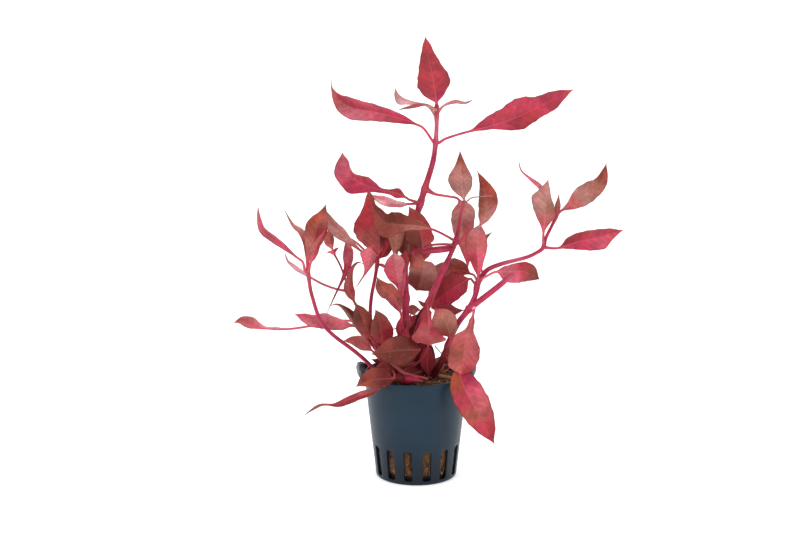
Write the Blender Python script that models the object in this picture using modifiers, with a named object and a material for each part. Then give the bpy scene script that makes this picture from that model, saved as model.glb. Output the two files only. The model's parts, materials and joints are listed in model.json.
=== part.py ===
"""Alternanthera reineckii, a red aquarium plant, standing in its net pot.

Metres, +Z up. The origin is the centre of the pot's foot, +X is to the right and -Y towards
whoever looks at the plant from the front.

The plant's places are given in millimetres as (right, up, back): how far right of the pot's axis
and how far up a spot is seen, on an upright board through the axis, and how far behind it lies.
"""

import math
from typing import NamedTuple

import bmesh
import bpy
from mathutils import Matrix, Vector

MM = 0.001
GAP = 0.3 * MM  # left between neighbouring pieces

# The eye that sees the plant from the front
EYE = Vector((-7.6, -1138.0, 380.8)) * MM

# Pot, millimetres
POT_HEIGHT = 50.0
FOOT_RADIUS = 18.8
RIM_RADIUS = 24.4
WALL = 1.1
FLOOR = 1.5
FOOT_EDGE = 0.6
RIM_EDGE = 0.3
POT_STEPS = 42

SLOTS = 14
SLOT_WIDTH = 3.9
SLOT_LOW = 2.1
SLOT_HIGH = 16.5
SLOT_CUT_DEPTH = 8.0
FIRST_SLOT_ANGLE = 15.4  # degrees from the front, towards the right

FLOOR_SLOTS = 7
FLOOR_SLOT_WIDTH = 3.0
FLOOR_SLOT_INNER = 6.0
FLOOR_SLOT_OUTER = 15.0

EAR_REACH = 28.0
EAR_LOW = 48.0
EAR_HIGH = 52.0
EAR_THICKNESS = 1.0
EAR_HALF_ANGLE = 20.0  # degrees
EAR_STEPS = 6

# Plug of mineral wool
PLUG_TOP = 47.0
PLUG_EDGE = 1.5
PLUG_STEPS = 28

# Leaves
BLADE_THICKNESS = 0.45
STALK_THICKNESS = 0.95
STALK_HALF_WIDTH = 0.55
TIP_HALF_WIDTH = 0.22
STALK_STATIONS = 3
BLADE_STATIONS = 8
STEM_STEP = 6.0  # between two rings of a stem
TOP_CLEARANCE = 0.4  # from a stem's end up to the leaf on top of it, beside the gap
STEM_END_ANGLE = 50.0  # degrees: sharper edges than this are shaded flat

# Steps that a curve is measured in
CURVE_STEPS = 200
STEM_SPOTS = 400


class Stem(NamedTuple):
    """A stem: where it leaves the plug (x, y), the spots it passes, its radius below and above."""

    name: str
    root: tuple
    path: list
    low_radius: float
    high_radius: float


class Leaf(NamedTuple):
    """A leaf: the stem that it grows from, the spots along its stalk and along its midrib.

    left and right are how far its edges are seen from the midrib, at five even places between
    the stalk and the tip. left_back and right_back are how far the edges lie behind the midrib
    where the blade is widest.
    """

    name: str
    stem: str
    stalk: list
    blade: list
    left: tuple
    right: tuple
    left_back: float = 0.0
    right_back: float = 0.0
    tone: str = "crimson"


STEMS = [
    Stem(
        "main_stem", (-5, 1),
        [(-5, 60, 1), (-5, 85, 1), (-5, 100, 0.5), (-3, 112, 0), (0.5, 126, 0.5), (4.6, 140, 1),
         (7.5, 150, 1.5), (8.6, 158, 2), (9.1, 166, 2), (9.1, 175.5, 2)],
        1.4, 0.85,
    ),
    Stem(
        "left_outer_stem", (-13, -6),
        [(-20, 51.5, -7), (-25, 56.5, -8), (-30.5, 61.2, -8.4), (-36.8, 66, -9), (-41.5, 70.4, -9.4),
         (-44.8, 75, -9.6), (-46.6, 80, -10), (-48, 85, -10.6), (-49.2, 90, -11.2), (-50.3, 99.5, -12)],
        0.95, 0.8,
    ),
    Stem(
        "left_inner_stem", (-12, 2),
        [(-17, 58, 3), (-19.5, 65, 3), (-21.3, 75, 3), (-21, 85, 2.5), (-19.5, 95, 2),
         (-17.8, 103.6, 2)],
        0.95, 0.8,
    ),
    Stem(
        "left_back_stem", (-12, 9),
        [(-18.5, 62.5, 9), (-22, 71, 9), (-25, 77, 8.5), (-28, 82, 8), (-31.5, 90, 7),
         (-34.8, 100, 5), (-38.3, 107, 4)],
        0.8, 0.45,
    ),
    Stem(
        "centre_right_stem", (1, 3),
        [(-0.5, 66, 4), (2.8, 76, 4), (5, 81.5, 4), (8.5, 90, 3.5), (12.2, 98.5, 3),
         (16.3, 107.5, 3), (17.6, 111.5, 3), (19, 117, 3), (20.6, 126, 3), (21.8, 130.5, 3)],
        0.95, 0.8,
    ),
    Stem(
        "right_stem", (7, -2),
        [(12.6, 56.5, -3), (15.4, 64.5, -3), (17.6, 70, -3), (20, 74.3, -3), (23.3, 78.7, -3),
         (25.3, 82, -3), (27.4, 87, -2.5), (28.2, 92, -2), (30, 95.5, -2), (33, 99, -2.4),
         (38, 101.3, -3), (43, 102.8, -3.6), (50, 104.6, -4.6), (54.5, 106.5, -5.4),
         (58.3, 109.2, -6), (59.3, 113, -6), (61, 117, -6), (64.6, 124.5, -6)],
        1.4, 0.7,
    ),
]

# Side branches: the stem they fork from, then the same as for a stem
BRANCHES = [
    (
        "right_stem",
        Stem(
            "right_low_branch", None,
            [(24.2, 80, -3.2), (27, 82.2, -4), (30, 84.6, -4.5), (35, 88.6, -5),
             (40, 92.8, -5.4), (44.6, 97, -5.4)],
            1.3, 0.8,
        ),
    ),
    (
        "centre_right_stem",
        Stem(
            "bridge_branch", None,
            [(-1.6, 107.4, -1), (5, 108.2, -1), (11, 108.9, 0), (16.4, 109.4, 3)],
            1.1, 0.9,
        ),
    ),
]

LEAVES = [
    # Crown
    Leaf("crown_front_leaf", "main_stem", [(9.1, 177.2, 1.5)],
         [(8.9, 178, 1), (7.8, 186, -4), (5.8, 196, -9), (3.8, 207.5, -14)],
         (6.2, 7, 5.4, 3, 1.3), (6, 7.3, 6, 4, 1.8), -1.5, -1.5),
    Leaf("crown_left_leaf", "main_stem", [(8, 158.5, 1), (3.5, 165, -0.5)],
         [(0, 167.2, -2), (-10, 170.6, -5), (-20, 173, -8), (-29, 174.6, -11), (-35.5, 178.5, -13.5),
          (-38.6, 184.3, -15), (-38.6, 188.4, -16)],
         (1.6, 3.3, 4.5, 4.6, 2.2), (1.8, 3.2, 4, 4.3, 2.4), -5, 5),
    Leaf("crown_right_leaf", "main_stem", [(9, 159, 2), (13, 160.5, 2.5), (18, 162.3, 3)],
         [(24, 164, 4), (35, 166.8, 7), (45, 170.3, 9), (55, 175, 11.5), (65, 180.2, 14),
          (71.3, 183.4, 15.5)],
         (4, 5.8, 6.9, 4.8, 3.4), (1.9, 5, 5.4, 5.3, 3.2), 2, -1.5),
    Leaf("crown_back_left_leaf", "main_stem", [(8.6, 171, 3), (6.4, 174.4, 6)],
         [(4, 176.2, 8), (-2, 177.4, 13), (-6.5, 179, 17.5), (-8.8, 181.3, 21), (-9.8, 184, 24)],
         (0.4, 0.9, 1.8, 3, 1.6), (0.3, 0.5, 0.6, 0.7, 0.4), -3, 3, "mauve"),
    Leaf("crown_back_right_leaf", "main_stem", [(9.4, 172.4, 3)],
         [(11.6, 175.3, 5), (14.4, 177, 8), (18, 177.8, 12), (22, 177.2, 16), (25.2, 178.4, 20)],
         (0.4, 0.7, 0.8, 0.6, 0.4), (0.4, 0.7, 0.8, 0.6, 0.4), 4, -4, "mauve"),
    Leaf("crown_young_leaf", "main_stem", [(8.4, 174.4, 0.5)],
         [(4.6, 176.3, -1.5), (0, 176.2, -4.5), (-4, 175.2, -7), (-8, 174.1, -9.5)],
         (0.5, 0.9, 1, 0.7, 0.3), (0.4, 0.6, 0.6, 0.4, 0.2), -3, 2.5, "dark"),
    # Node of the main stem below the crown
    Leaf("shoulder_left_leaf", "main_stem", [(0.6, 130.8, -1), (-3.5, 132.2, -1.5)],
         [(-7, 134, -2.5), (-15, 135.2, -5), (-22, 138.5, -8), (-28, 141.5, -11),
          (-32.5, 146, -13), (-34, 154.2, -14)],
         (0.9, 2.5, 4.1, 5.6, 3.2), (1.6, 3.2, 3.6, 3.4, 3.6), -4, 4),
    Leaf("shoulder_left_back_leaf", "main_stem", [(0.6, 130.6, 3)],
         [(-3.5, 130.1, 5), (-10, 130, 11), (-16, 131.8, 17), (-22.4, 134.8, 23)],
         (1.2, 1.3, 1.8, 1.8, 1), (0.8, 1, 2, 2, 1), -4, 4, "mauve"),
    Leaf("hanging_right_leaf", "main_stem", [(4.6, 136.8, 0), (9, 134.6, 0), (15, 133.6, 2)],
         [(19.4, 132.1, 5), (21, 125.5, 10), (21, 117, 12), (22.4, 108, 10.5), (23.9, 99.5, 7.5)],
         (5.3, 5.8, 4.4, 2.9, 1.5), (4, 5.2, 4.2, 2.6, 1.1), 1.5, 2, "mauve"),
    # Top of the right shoot
    Leaf("right_shoot_upright_leaf", "centre_right_stem", [(21.9, 131.4, 3)],
         [(21.8, 132.2, 3), (20.7, 139, 6), (20.3, 147, 9), (19.8, 155.2, 12)],
         (3.4, 5.7, 5.7, 3.1, 1.4), (3.6, 5.1, 4.6, 2.7, 1.3), 1.5, 1.5, "mauve"),
    Leaf("right_shoot_side_leaf", "centre_right_stem", [(18.4, 112, 3), (24, 116.8, 5)],
         [(28.9, 119.6, 9.5), (31.5, 125, 13.5), (32.3, 131, 16), (31, 138, 18),
          (27.7, 145.8, 19)],
         (2.6, 3.7, 3.8, 2.6, 1.1), (2.4, 4.3, 5.3, 3.8, 1.7), 2, 1, "brown"),
    Leaf("canopy_brown_leaf", "centre_right_stem", [(17.2, 112.4, 1.4), (12, 116, -4)],
         [(6.5, 118.4, -8), (0, 119.8, -12), (-8, 120.4, -16), (-15, 121.6, -19.5),
          (-20.5, 128, -22)],
         (1.5, 2.4, 4.4, 6.6, 2.2), (1.5, 3.2, 4.4, 4.8, 3), -2, 3, "brown"),
    Leaf("canopy_back_leaf", "centre_right_stem",
         [(17, 111, 2), (12.5, 111.1, -2.6), (6.5, 110.6, -4)],
         [(3, 110.6, -4.2), (2.4, 114.4, -4.6), (0.5, 121, -4.6), (-3.5, 129, -4.6)],
         (6.2, 7, 6, 4.5, 2.3), (5, 4.9, 4.5, 3.8, 2.3), 0.6, 0.6, "brown"),
    # Centre of the plant
    Leaf("centre_pink_leaf", "main_stem", [(-6.2, 84.6, 0)],
         [(-7.5, 88, -1.8), (-8.6, 94, -4.6), (-10, 100, -8), (-11.6, 107.5, -12)],
         (1.3, 3.6, 4.5, 4.5, 3), (0.9, 2.1, 3, 3.8, 2.8), -1, 0.6, "pink"),
    Leaf("centre_left_leaf", "main_stem", [(-6, 75, 0)],
         [(-7.2, 78, -2.4), (-8.8, 83, -6), (-11.5, 87.5, -10), (-15, 90, -13),
          (-18.3, 95.5, -17)],
         (2.2, 3.3, 3.7, 3.8, 2.8), (1.4, 3.1, 3.4, 3.8, 1.8), 2, -1.5, "brown"),
    Leaf("centre_back_leaf", "main_stem", [(-3.6, 104, 3)],
         [(4.2, 105, 8), (3.4, 99.5, 14), (1.8, 94, 18), (0.6, 89.3, 20)],
         (4.5, 5.5, 6, 5, 3.4), (5, 6.2, 6.2, 5.4, 3.6), -1, 1.5, "brown"),
    Leaf("centre_top_leaf", "main_stem", [(-3.6, 107.4, 2)],
         [(-1.4, 106.9, 1.8), (1.4, 104.8, 1.4), (3.4, 101, 1), (4.4, 96.6, 1)],
         (0.9, 1.6, 1.8, 1.6, 0.9), (2, 3, 3, 2, 1), -1.5, 1.5, "brown"),
    Leaf("inner_right_leaf", "right_stem", [(28, 91.4, 0.5), (26.2, 93.4, 3)],
         [(24.4, 94.6, 5), (19.5, 91, 10), (13.5, 87, 14), (5.5, 81, 17)],
         (2.4, 4.2, 5.1, 5.2, 3.8), (3.4, 5, 5.6, 5, 3.4), -1, 1, "dark"),
    Leaf("inner_right_upper_leaf", "right_stem", [(28.4, 93.6, 1), (26.8, 96.2, 8)],
         [(25, 97, 12), (22, 98.8, 17), (17, 98, 21), (11.5, 94.5, 24)],
         (1.6, 3, 3, 2.6, 1.5), (2.2, 5.2, 4.9, 3.6, 1.7), -1, 1.5, "dark"),
    Leaf("hanging_front_leaf", "centre_right_stem", [(5.4, 82.4, 2)],
         [(5.3, 80.6, -1.4), (5, 75, -8), (5, 69.5, -14.5), (5.2, 62.5, -21)],
         (2, 2.4, 3.6, 5, 7), (2.2, 3, 4, 5.6, 7), 1, 1, "pink"),
    Leaf("round_front_leaf", "right_stem", [(14.6, 62, -5)],
         [(15.9, 66, -6), (14.6, 71, -8), (12, 76, -9), (8.5, 80, -9)],
         (3, 4.6, 5.2, 4.5, 3), (2.2, 3.8, 4.4, 4.4, 2.8), 1.5, 1, "brown"),
    # Right, lower
    Leaf("right_upright_leaf", "right_stem", [(28.3, 92.2, -4)],
         [(28.6, 95.2, -5), (28.4, 102, -8), (28.2, 110, -11), (29.5, 121, -14)],
         (1.8, 3, 3.9, 4.3, 3.6), (1.8, 2.9, 4.2, 4.2, 2.8), 1.5, 1.5, "mauve"),
    Leaf("right_hidden_leaf", "right_stem", [(30, 94.6, 0), (30.6, 97.4, 3)],
         [(29.8, 100, 5), (29.6, 106.5, 8), (31, 112.6, 11), (35, 116.9, 14)],
         (1.5, 2.6, 3, 2, 1), (1.2, 2, 2, 1.2, 0.5), 1, 0, "mauve"),
    Leaf("right_low_leaf", "right_stem", [(29.6, 94.2, -4), (33, 96.2, -4.4)],
         [(37, 98, -3.4), (44, 98.2, -1), (50, 98, 3), (56, 94.7, 8)],
         (1.4, 2.2, 2.6, 4, 3), (3.8, 5.2, 5.4, 4.6, 2.6), -0.5, 2),
    Leaf("right_front_leaf", "right_low_branch", [(26.6, 79.6, -5), (26.2, 76, -8.5)],
         [(25.2, 71.6, -11), (23, 64, -15.4), (22, 56, -19.6), (20.4, 48, -23)],
         (3.2, 5.9, 7, 7.2, 4.8), (3.6, 6.2, 7.3, 7, 5.4), 1, 1, "salmon"),
    Leaf("right_rim_leaf", "right_stem", [(13.6, 57, -6), (16.4, 54, -12)],
         [(19.4, 50.6, -19.4), (23, 41, -23), (28.5, 31, -26.5), (36.8, 14.5, -29)],
         (4.4, 7, 7.6, 6.6, 4.2), (4, 6.2, 6.8, 5.8, 3.6), 2, -1, "rose"),
    # Right, far
    Leaf("far_right_upright_leaf", "right_stem", [(58.4, 110.6, -8)],
         [(58.5, 116, -9), (59, 122, -12), (59.4, 131, -16), (60.4, 141.8, -19)],
         (1.8, 4, 5.6, 6.6, 3.2), (1.7, 4.6, 4.4, 2.6, 1.3), 1.5, 1.5, "mauve"),
    Leaf("far_right_edge_leaf", "right_stem", [(64.2, 124.4, -3.5)],
         [(63.2, 127.4, -1.5), (60.4, 133, 1), (56.6, 138.2, 4), (51.6, 142.4, 8),
          (48, 145.7, 11), (46.8, 150.2, 14)],
         (0.6, 0.9, 1, 0.5, 0.2), (0.6, 0.9, 1, 0.5, 0.2), 4, -3, "mauve"),
    Leaf("far_right_top_leaf", "right_stem", [(64.8, 125.4, -6)],
         [(66.4, 126.8, -6), (72, 130.5, -3), (79, 135.5, 1), (84.5, 140, 4),
          (86.9, 149.3, 6)],
         (2, 4.6, 4.7, 3.8, 2), (2.4, 4.1, 4.3, 3.2, 2), 2, -2, "salmon"),
    Leaf("far_right_low_leaf", "right_stem", [(59.6, 109.2, -6.4)],
         [(65.5, 109.3, -7), (74, 112, -10), (84, 114.3, -14), (95.3, 117.8, -17)],
         (3.2, 4.1, 4.2, 3.6, 2.4), (2.1, 3.9, 5.1, 5.6, 2.4), 4, -4),
    # Left, inner
    Leaf("left_round_leaf", "left_inner_stem", [(-17.7, 104.6, 2)],
         [(-17.6, 105.6, 2), (-17.2, 113, 4), (-18.4, 122, 7), (-20.8, 130, 10), (-22.2, 137, 13)],
         (6.4, 10.2, 9, 5.6, 2.4), (3, 4.8, 4.6, 3, 2.4), -1, 1, "dark"),
    Leaf("left_hanging_leaf", "left_inner_stem", [(-18.2, 101.6, -1)],
         [(-19.4, 105.2, -3.4), (-21.2, 102, -5), (-23.4, 97.5, -5.4), (-28.2, 90.2, -5)],
         (2.2, 1.5, 0.7, 0.2, 0.05), (2.6, 1.8, 0.9, 0.2, 0.05), 1, 1, "rose"),
    Leaf("left_diagonal_leaf", "left_inner_stem", [(-18.6, 102.6, 4), (-21.5, 105, 5.5)],
         [(-24.5, 107, 6.5), (-30, 111.6, 9), (-35, 116, 12), (-39.5, 120.5, 15),
          (-42.5, 128, 18)],
         (1.3, 2, 2.7, 2.8, 2), (1.2, 2.1, 2.9, 2.9, 2), -4, 4, "mauve"),
    Leaf("left_twisted_leaf", "left_inner_stem",
         [(-17.6, 101.6, 5), (-22, 106, 14), (-27.5, 111.6, 20)],
         [(-31.9, 113.6, 20), (-31.6, 107, 10), (-32.2, 100.5, -2.4), (-34.2, 94.5, -4),
          (-37.6, 87, -5), (-41.7, 77.8, -6)],
         (2.2, 2.5, 1.8, 0.5, 0.1), (1.9, 2.3, 1.3, 0.4, 0.1), 2, -2),
    Leaf("left_small_leaf", "left_back_stem", [(-38.6, 107.8, 4)],
         [(-38.8, 108.6, 3.8), (-39.6, 111, 1.4), (-40.3, 114, -1), (-40.6, 118, -3)],
         (1.2, 2.2, 2.6, 2.2, 1.2), (0.9, 1.6, 2.2, 2.2, 1.2), 1, 1, "brown"),
    # Left, outer
    Leaf("outer_left_big_leaf", "left_outer_stem", [(-50.4, 100.4, -12)],
         [(-50, 103.4, -11.6), (-48.6, 109, -13), (-46.8, 116, -15), (-44.5, 123, -17),
          (-41.6, 130, -19)],
         (2, 4, 5.1, 4.6, 1.7), (2.1, 4.2, 5, 4.5, 2.7), 2, 1, "brown"),
    Leaf("outer_left_front_leaf", "left_outer_stem", [(-49.6, 98, -15)],
         [(-49, 102, -16.5), (-47.6, 107, -18), (-45.6, 111.5, -20), (-42.2, 117.5, -22)],
         (1.2, 1.8, 2, 1.5, 0.8), (1.6, 2, 1.8, 1.3, 0.7), -1, 1, "brown"),
    Leaf("outer_left_tail_leaf", "left_outer_stem", [(-50.6, 97.4, -9)],
         [(-50.6, 103, -6.4), (-51, 111, -3), (-53.2, 116.6, 0), (-57.2, 120.7, 4),
          (-60.9, 127.6, 8)],
         (0.9, 1.2, 1.2, 0.9, 0.3), (1.2, 1.7, 1.6, 0.8, 0.3), -2, 2, "brown"),
    Leaf("outer_left_long_leaf", "left_outer_stem", [(-51.4, 97.8, -12), (-52.6, 102.6, -12.5)],
         [(-55.5, 105, -13), (-60, 108.8, -15), (-66, 113.2, -17), (-71, 117.5, -19.5),
          (-72.6, 123, -21), (-72.9, 129, -22)],
         (0.8, 1.2, 1.4, 1.3, 0.7), (0.9, 1.7, 1.9, 1.6, 1), -4.5, 4.5),
    Leaf("outer_left_thin_leaf", "left_back_stem",
         [(-32.2, 88.6, 6), (-38, 90, 4.6), (-44, 92.4, 2)],
         [(-48.5, 95, 0.5), (-53, 97.9, 3), (-57, 100.8, 6), (-59.6, 103.4, 8),
          (-60.8, 107, 9)],
         (0.5, 0.9, 1, 0.8, 0.3), (0.5, 0.9, 1, 0.7, 0.3), -4, 4, "mauve"),
    # Left, lower
    Leaf("left_hooked_leaf", "left_back_stem", [(-26.6, 79.6, 5.5)],
         [(-28.8, 83.5, 3.4), (-31.2, 90, 3.2), (-30.9, 95, 3.2), (-29.6, 99.8, 3),
          (-27.2, 102.4, 2.4), (-24.7, 101.8, 1.6)],
         (2, 2.4, 1.5, 1, 0.5), (2, 2.2, 1.5, 0.9, 0.5), 1.5, -2, "brown"),
    Leaf("left_dark_outer_leaf", "left_back_stem", [(-17.6, 60.4, 6)],
         [(-20.5, 62.5, 4.5), (-25.5, 69.5, -0.5), (-29.5, 75.5, -5), (-33.5, 80.4, -9),
          (-37, 82.4, -11), (-40.4, 81.6, -12)],
         (1, 1.2, 1.2, 0.8, 0.4), (2, 3, 2.6, 1.2, 0.5), 1, 2, "dark"),
    Leaf("left_dark_middle_leaf", "left_inner_stem", [(-17.8, 60.4, 1), (-19.4, 63, -1.4)],
         [(-20.4, 65, -2.4), (-23, 71, -6.5), (-25.5, 77, -10.5), (-28, 83, -14)],
         (2.5, 4, 4.8, 4.4, 2.6), (2, 2.6, 3, 3, 2), 2.4, 2, "dark"),
    Leaf("left_dark_inner_leaf", "left_inner_stem", [(-16.6, 57.4, 1), (-15.4, 60.6, -3)],
         [(-15.5, 62.5, -5), (-16.4, 69, -9), (-17.2, 75, -13), (-19, 80, -16)],
         (2.5, 3.6, 4, 3.4, 2), (2.6, 3.4, 3.2, 2.4, 1.2), 1.5, 1.5, "brown"),
    Leaf("left_low_leaf", "left_inner_stem", [(-15.2, 54, 4.4), (-18, 57, 8)],
         [(-20.5, 60, 11), (-24.5, 62.5, 15), (-29, 64.6, 19), (-34, 64.8, 23)],
         (1.5, 2.4, 2.4, 1.8, 1), (2, 3.6, 3.6, 2.6, 1.4), -2, 2, "brown"),
    Leaf("left_salmon_leaf", "left_back_stem", [(-21.8, 69.6, 11)],
         [(-29, 72, 9), (-36, 73, 6.5), (-43, 74.4, 3), (-50, 75.6, -1), (-56.6, 77.8, -5)],
         (2.5, 3.3, 3.6, 3.6, 2.2), (2.1, 3, 3.7, 2.2, 1.8), -4.5, 4.5, "salmon"),
    Leaf("far_left_leaf", "left_back_stem",
         [(-23.6, 74, 11.5), (-34, 74.6, 16), (-48, 72.2, 18), (-56, 70.9, 19)],
         [(-61, 70.5, 19.5), (-66, 70.8, 20.5), (-71.5, 71.2, 21.5), (-76, 72.8, 23),
          (-81, 74.6, 25), (-84.8, 73.6, 26)],
         (0.7, 0.5, 1.2, 2.5, 2.1), (0.7, 0.6, 1.9, 3.2, 2), -4, 4, "salmon"),
    # Round the rim
    Leaf("left_rim_leaf", "left_outer_stem", [(-12.6, 48.6, -8.4), (-11, 50.4, -16)],
         [(-10.6, 46.8, -24), (-16, 46.3, -25.5), (-22, 45.5, -27), (-28.2, 42.6, -28)],
         (3, 4, 3.8, 3, 1.4), (3, 3.6, 3.8, 3.4, 2), -1, 1.5, "dark"),
    Leaf("left_trailing_leaf", "left_outer_stem", [(-15, 49.4, -8.4), (-15.4, 50, -15)],
         [(-16.6, 43, -21.6), (-21, 39.8, -22.5), (-27, 38, -23.2), (-33, 35.6, -24),
          (-38, 33.8, -25), (-45, 33.5, -27), (-52.5, 28.7, -29)],
         (1.2, 1.8, 1.8, 0.4, 0.1), (1.8, 1.7, 1.3, 0.3, 0.1), -2, 2),
    Leaf("front_rim_leaf", "main_stem", [(-6, 50, -1)],
         [(-6.8, 47.4, -12.6), (-4, 46, -16), (-0.5, 45.3, -18), (3.2, 44.9, -19)],
         (1.2, 1.8, 1.8, 1.4, 0.8), (0.8, 1.4, 1.5, 1.2, 0.7), -1, 1.5),
    Leaf("front_big_leaf", "main_stem", [(-4.4, 60, -1), (-3, 61.6, -8)],
         [(1, 60.8, -14), (-6, 60.8, -18), (-13, 60, -21), (-20.4, 58.8, -22)],
         (4.6, 6.4, 6.4, 5, 2.6), (4.2, 5.8, 6, 5, 2.8), 1, 1, "brown"),
]

TONES = {
    "crimson": (0.56, 0.04, 0.08),
    "rose": (0.50, 0.05, 0.08),
    "pink": (0.60, 0.12, 0.15),
    "salmon": (0.55, 0.13, 0.13),
    "mauve": (0.47, 0.19, 0.17),
    "brown": (0.30, 0.06, 0.04),
    "dark": (0.22, 0.03, 0.02),
}


def material(name, colour, roughness):
    """A plain material of its own for one sub-part."""
    made = bpy.data.materials.new(name)
    made.use_nodes = True
    shader = made.node_tree.nodes["Principled BSDF"]
    shader.inputs["Base Color"].default_value = (*colour, 1)
    shader.inputs["Roughness"].default_value = roughness
    made.diffuse_color = (*colour, 1)
    return made


def add(name, mesh, collection):
    """A new object of this mesh in the collection."""
    made = bpy.data.objects.new(name, mesh)
    collection.objects.link(made)
    return made


def mesh_of(name, shape):
    """The bmesh as a mesh, its faces turned outwards."""
    bmesh.ops.recalc_face_normals(shape, faces=shape.faces)
    mesh = bpy.data.meshes.new(name)
    shape.to_mesh(mesh)
    shape.free()
    return mesh


def seen(spot):
    """The place, in metres, of what is seen so far right and up, and lies so far back."""
    right, up, back = spot
    on_board = Vector((right, 0, up)) * MM
    return EYE + (on_board - EYE) * (1 + back * MM / -EYE.y)


def curve_point(points, where):
    """A point on the smooth curve through these points; where runs from 0 to 1."""
    last = len(points) - 1
    part = min(int(where * last), last - 1)
    t = where * last - part
    a, b, c, d = (points[max(0, min(last, part + k))] for k in (-1, 0, 1, 2))
    return (
        b * 2 + (c - a) * t + (a * 2 - b * 5 + c * 4 - d) * t**2 + (b * 3 - a - c * 3 + d) * t**3
    ) / 2


def evenly(points, count):
    """count points at even distances along the smooth curve through these points."""
    fine = [curve_point(points, k / CURVE_STEPS) for k in range(CURVE_STEPS + 1)]
    travelled = [0.0]
    for before, after in zip(fine, fine[1:]):
        travelled.append(travelled[-1] + (after - before).length)
    spots = []
    at = 0
    for k in range(count):
        goal = travelled[-1] * k / (count - 1)
        while at < CURVE_STEPS - 1 and travelled[at + 1] < goal:
            at += 1
        share = (goal - travelled[at]) / (travelled[at + 1] - travelled[at])
        spots.append(fine[at].lerp(fine[at + 1], min(share, 1)))
    return spots


def wall_radius(up):
    """The pot's outer radius at this height, in millimetres."""
    return FOOT_RADIUS + (RIM_RADIUS - FOOT_RADIUS) * up / POT_HEIGHT


def turned(name, profile, steps, collection):
    """A body turned round the Z axis from a profile of (radius, height) in millimetres."""
    shape = bmesh.new()
    corners = [shape.verts.new((radius * MM, 0, up * MM)) for radius, up in profile]
    for before, after in zip(corners, corners[1:]):
        shape.edges.new((before, after))
    mesh = bpy.data.meshes.new(name)
    shape.to_mesh(mesh)
    shape.free()
    made = add(name, mesh, collection)
    screw = made.modifiers.new("turn", "SCREW")
    screw.steps = steps
    screw.render_steps = steps
    screw.use_merge_vertices = True
    screw.merge_threshold = 0.00001
    return made


def helper(made):
    """Keeps a cutter or joined piece out of the finished part."""
    made.hide_render = True
    made.display_type = "WIRE"
    return made


def boolean(target, other, operation):
    """Cuts the other object out of the target, or joins it on."""
    step = target.modifiers.new(other.name, "BOOLEAN")
    step.operation = operation
    step.object = other


def block(shape, size, place, turn):
    """Adds a block of this size at this place before the turn about Z, all in millimetres."""
    matrix = (
        Matrix.Rotation(turn, 4, "Z")
        @ Matrix.Translation(Vector(place) * MM)
        @ Matrix.Diagonal((*(Vector(size) * MM), 1))
    )
    bmesh.ops.create_cube(shape, size=1, matrix=matrix)


def make_slot_cutters(collection):
    """The upright slots through the wall and the slots through the floor."""
    shape = bmesh.new()
    for k in range(SLOTS):
        turn = math.radians(FIRST_SLOT_ANGLE + 360 * k / SLOTS)
        middle = (SLOT_LOW + SLOT_HIGH) / 2
        block(
            shape, (SLOT_WIDTH, SLOT_CUT_DEPTH, SLOT_HIGH - SLOT_LOW),
            (0, -wall_radius(middle), middle), turn,
        )
    for k in range(FLOOR_SLOTS):
        turn = 2 * math.pi * k / FLOOR_SLOTS
        length = FLOOR_SLOT_OUTER - FLOOR_SLOT_INNER
        block(
            shape, (FLOOR_SLOT_WIDTH, length, 4 * FLOOR),
            (0, -(FLOOR_SLOT_INNER + FLOOR_SLOT_OUTER) / 2, FLOOR / 2 - FLOOR), turn,
        )
    return helper(add("slot_cutters", mesh_of("slot_cutters", shape), collection))


def make_ear(name, side, collection):
    """A lip ear that flares out of the rim to one side."""
    shape = bmesh.new()
    inner = wall_radius(EAR_LOW) - WALL / 2
    corners = [
        (inner, EAR_LOW - EAR_THICKNESS),
        (EAR_REACH, EAR_HIGH - EAR_THICKNESS),
        (EAR_REACH - EAR_THICKNESS / 2, EAR_HIGH),
        (inner, EAR_LOW + EAR_THICKNESS),
    ]
    start = Matrix.Rotation(math.radians(-EAR_HALF_ANGLE), 3, "Z")
    section = [shape.verts.new(start @ Vector((side * r, 0, z)) * MM) for r, z in corners]
    face = shape.faces.new(section)
    bmesh.ops.spin(
        shape, geom=[face], axis=(0, 0, 1), cent=(0, 0, 0),
        angle=math.radians(2 * EAR_HALF_ANGLE), steps=EAR_STEPS,
    )
    return helper(add(name, mesh_of(name, shape), collection))


def make_pot(parts, cutters):
    """The pot: a tapered cup with slots near its foot and two lip ears."""
    profile = [
        (RIM_RADIUS - WALL + RIM_EDGE, POT_HEIGHT),
        (RIM_RADIUS - RIM_EDGE, POT_HEIGHT),
        (RIM_RADIUS, POT_HEIGHT - RIM_EDGE),
        (wall_radius(FOOT_EDGE), FOOT_EDGE),
        (FOOT_RADIUS - FOOT_EDGE, 0),
        (0, 0),
        (0, FLOOR),
        (wall_radius(FLOOR) - WALL, FLOOR),
        (RIM_RADIUS - WALL, POT_HEIGHT - RIM_EDGE),
        (RIM_RADIUS - WALL + RIM_EDGE, POT_HEIGHT),
    ]
    pot = turned("pot", profile, POT_STEPS, parts)
    boolean(pot, make_slot_cutters(cutters), "DIFFERENCE")
    for name, side in (("left_ear", -1), ("right_ear", 1)):
        boolean(pot, make_ear(name, side, cutters), "UNION")
    pot.data.materials.append(material("pot plastic", (0.030, 0.055, 0.075), 0.45))


def make_plug(parts):
    """The plug of mineral wool that fills the pot."""
    gap = GAP / MM

    def room(up):
        return wall_radius(up) - WALL - gap

    profile = [
        (0, PLUG_TOP),
        (room(PLUG_TOP) - PLUG_EDGE, PLUG_TOP),
        (room(PLUG_TOP - PLUG_EDGE), PLUG_TOP - PLUG_EDGE),
        (room(FLOOR + gap), FLOOR + gap),
        (0, FLOOR + gap),
    ]
    plug = turned("wool_plug", profile, PLUG_STEPS, parts)
    plug.data.materials.append(material("mineral wool", (0.16, 0.10, 0.06), 0.95))


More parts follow.
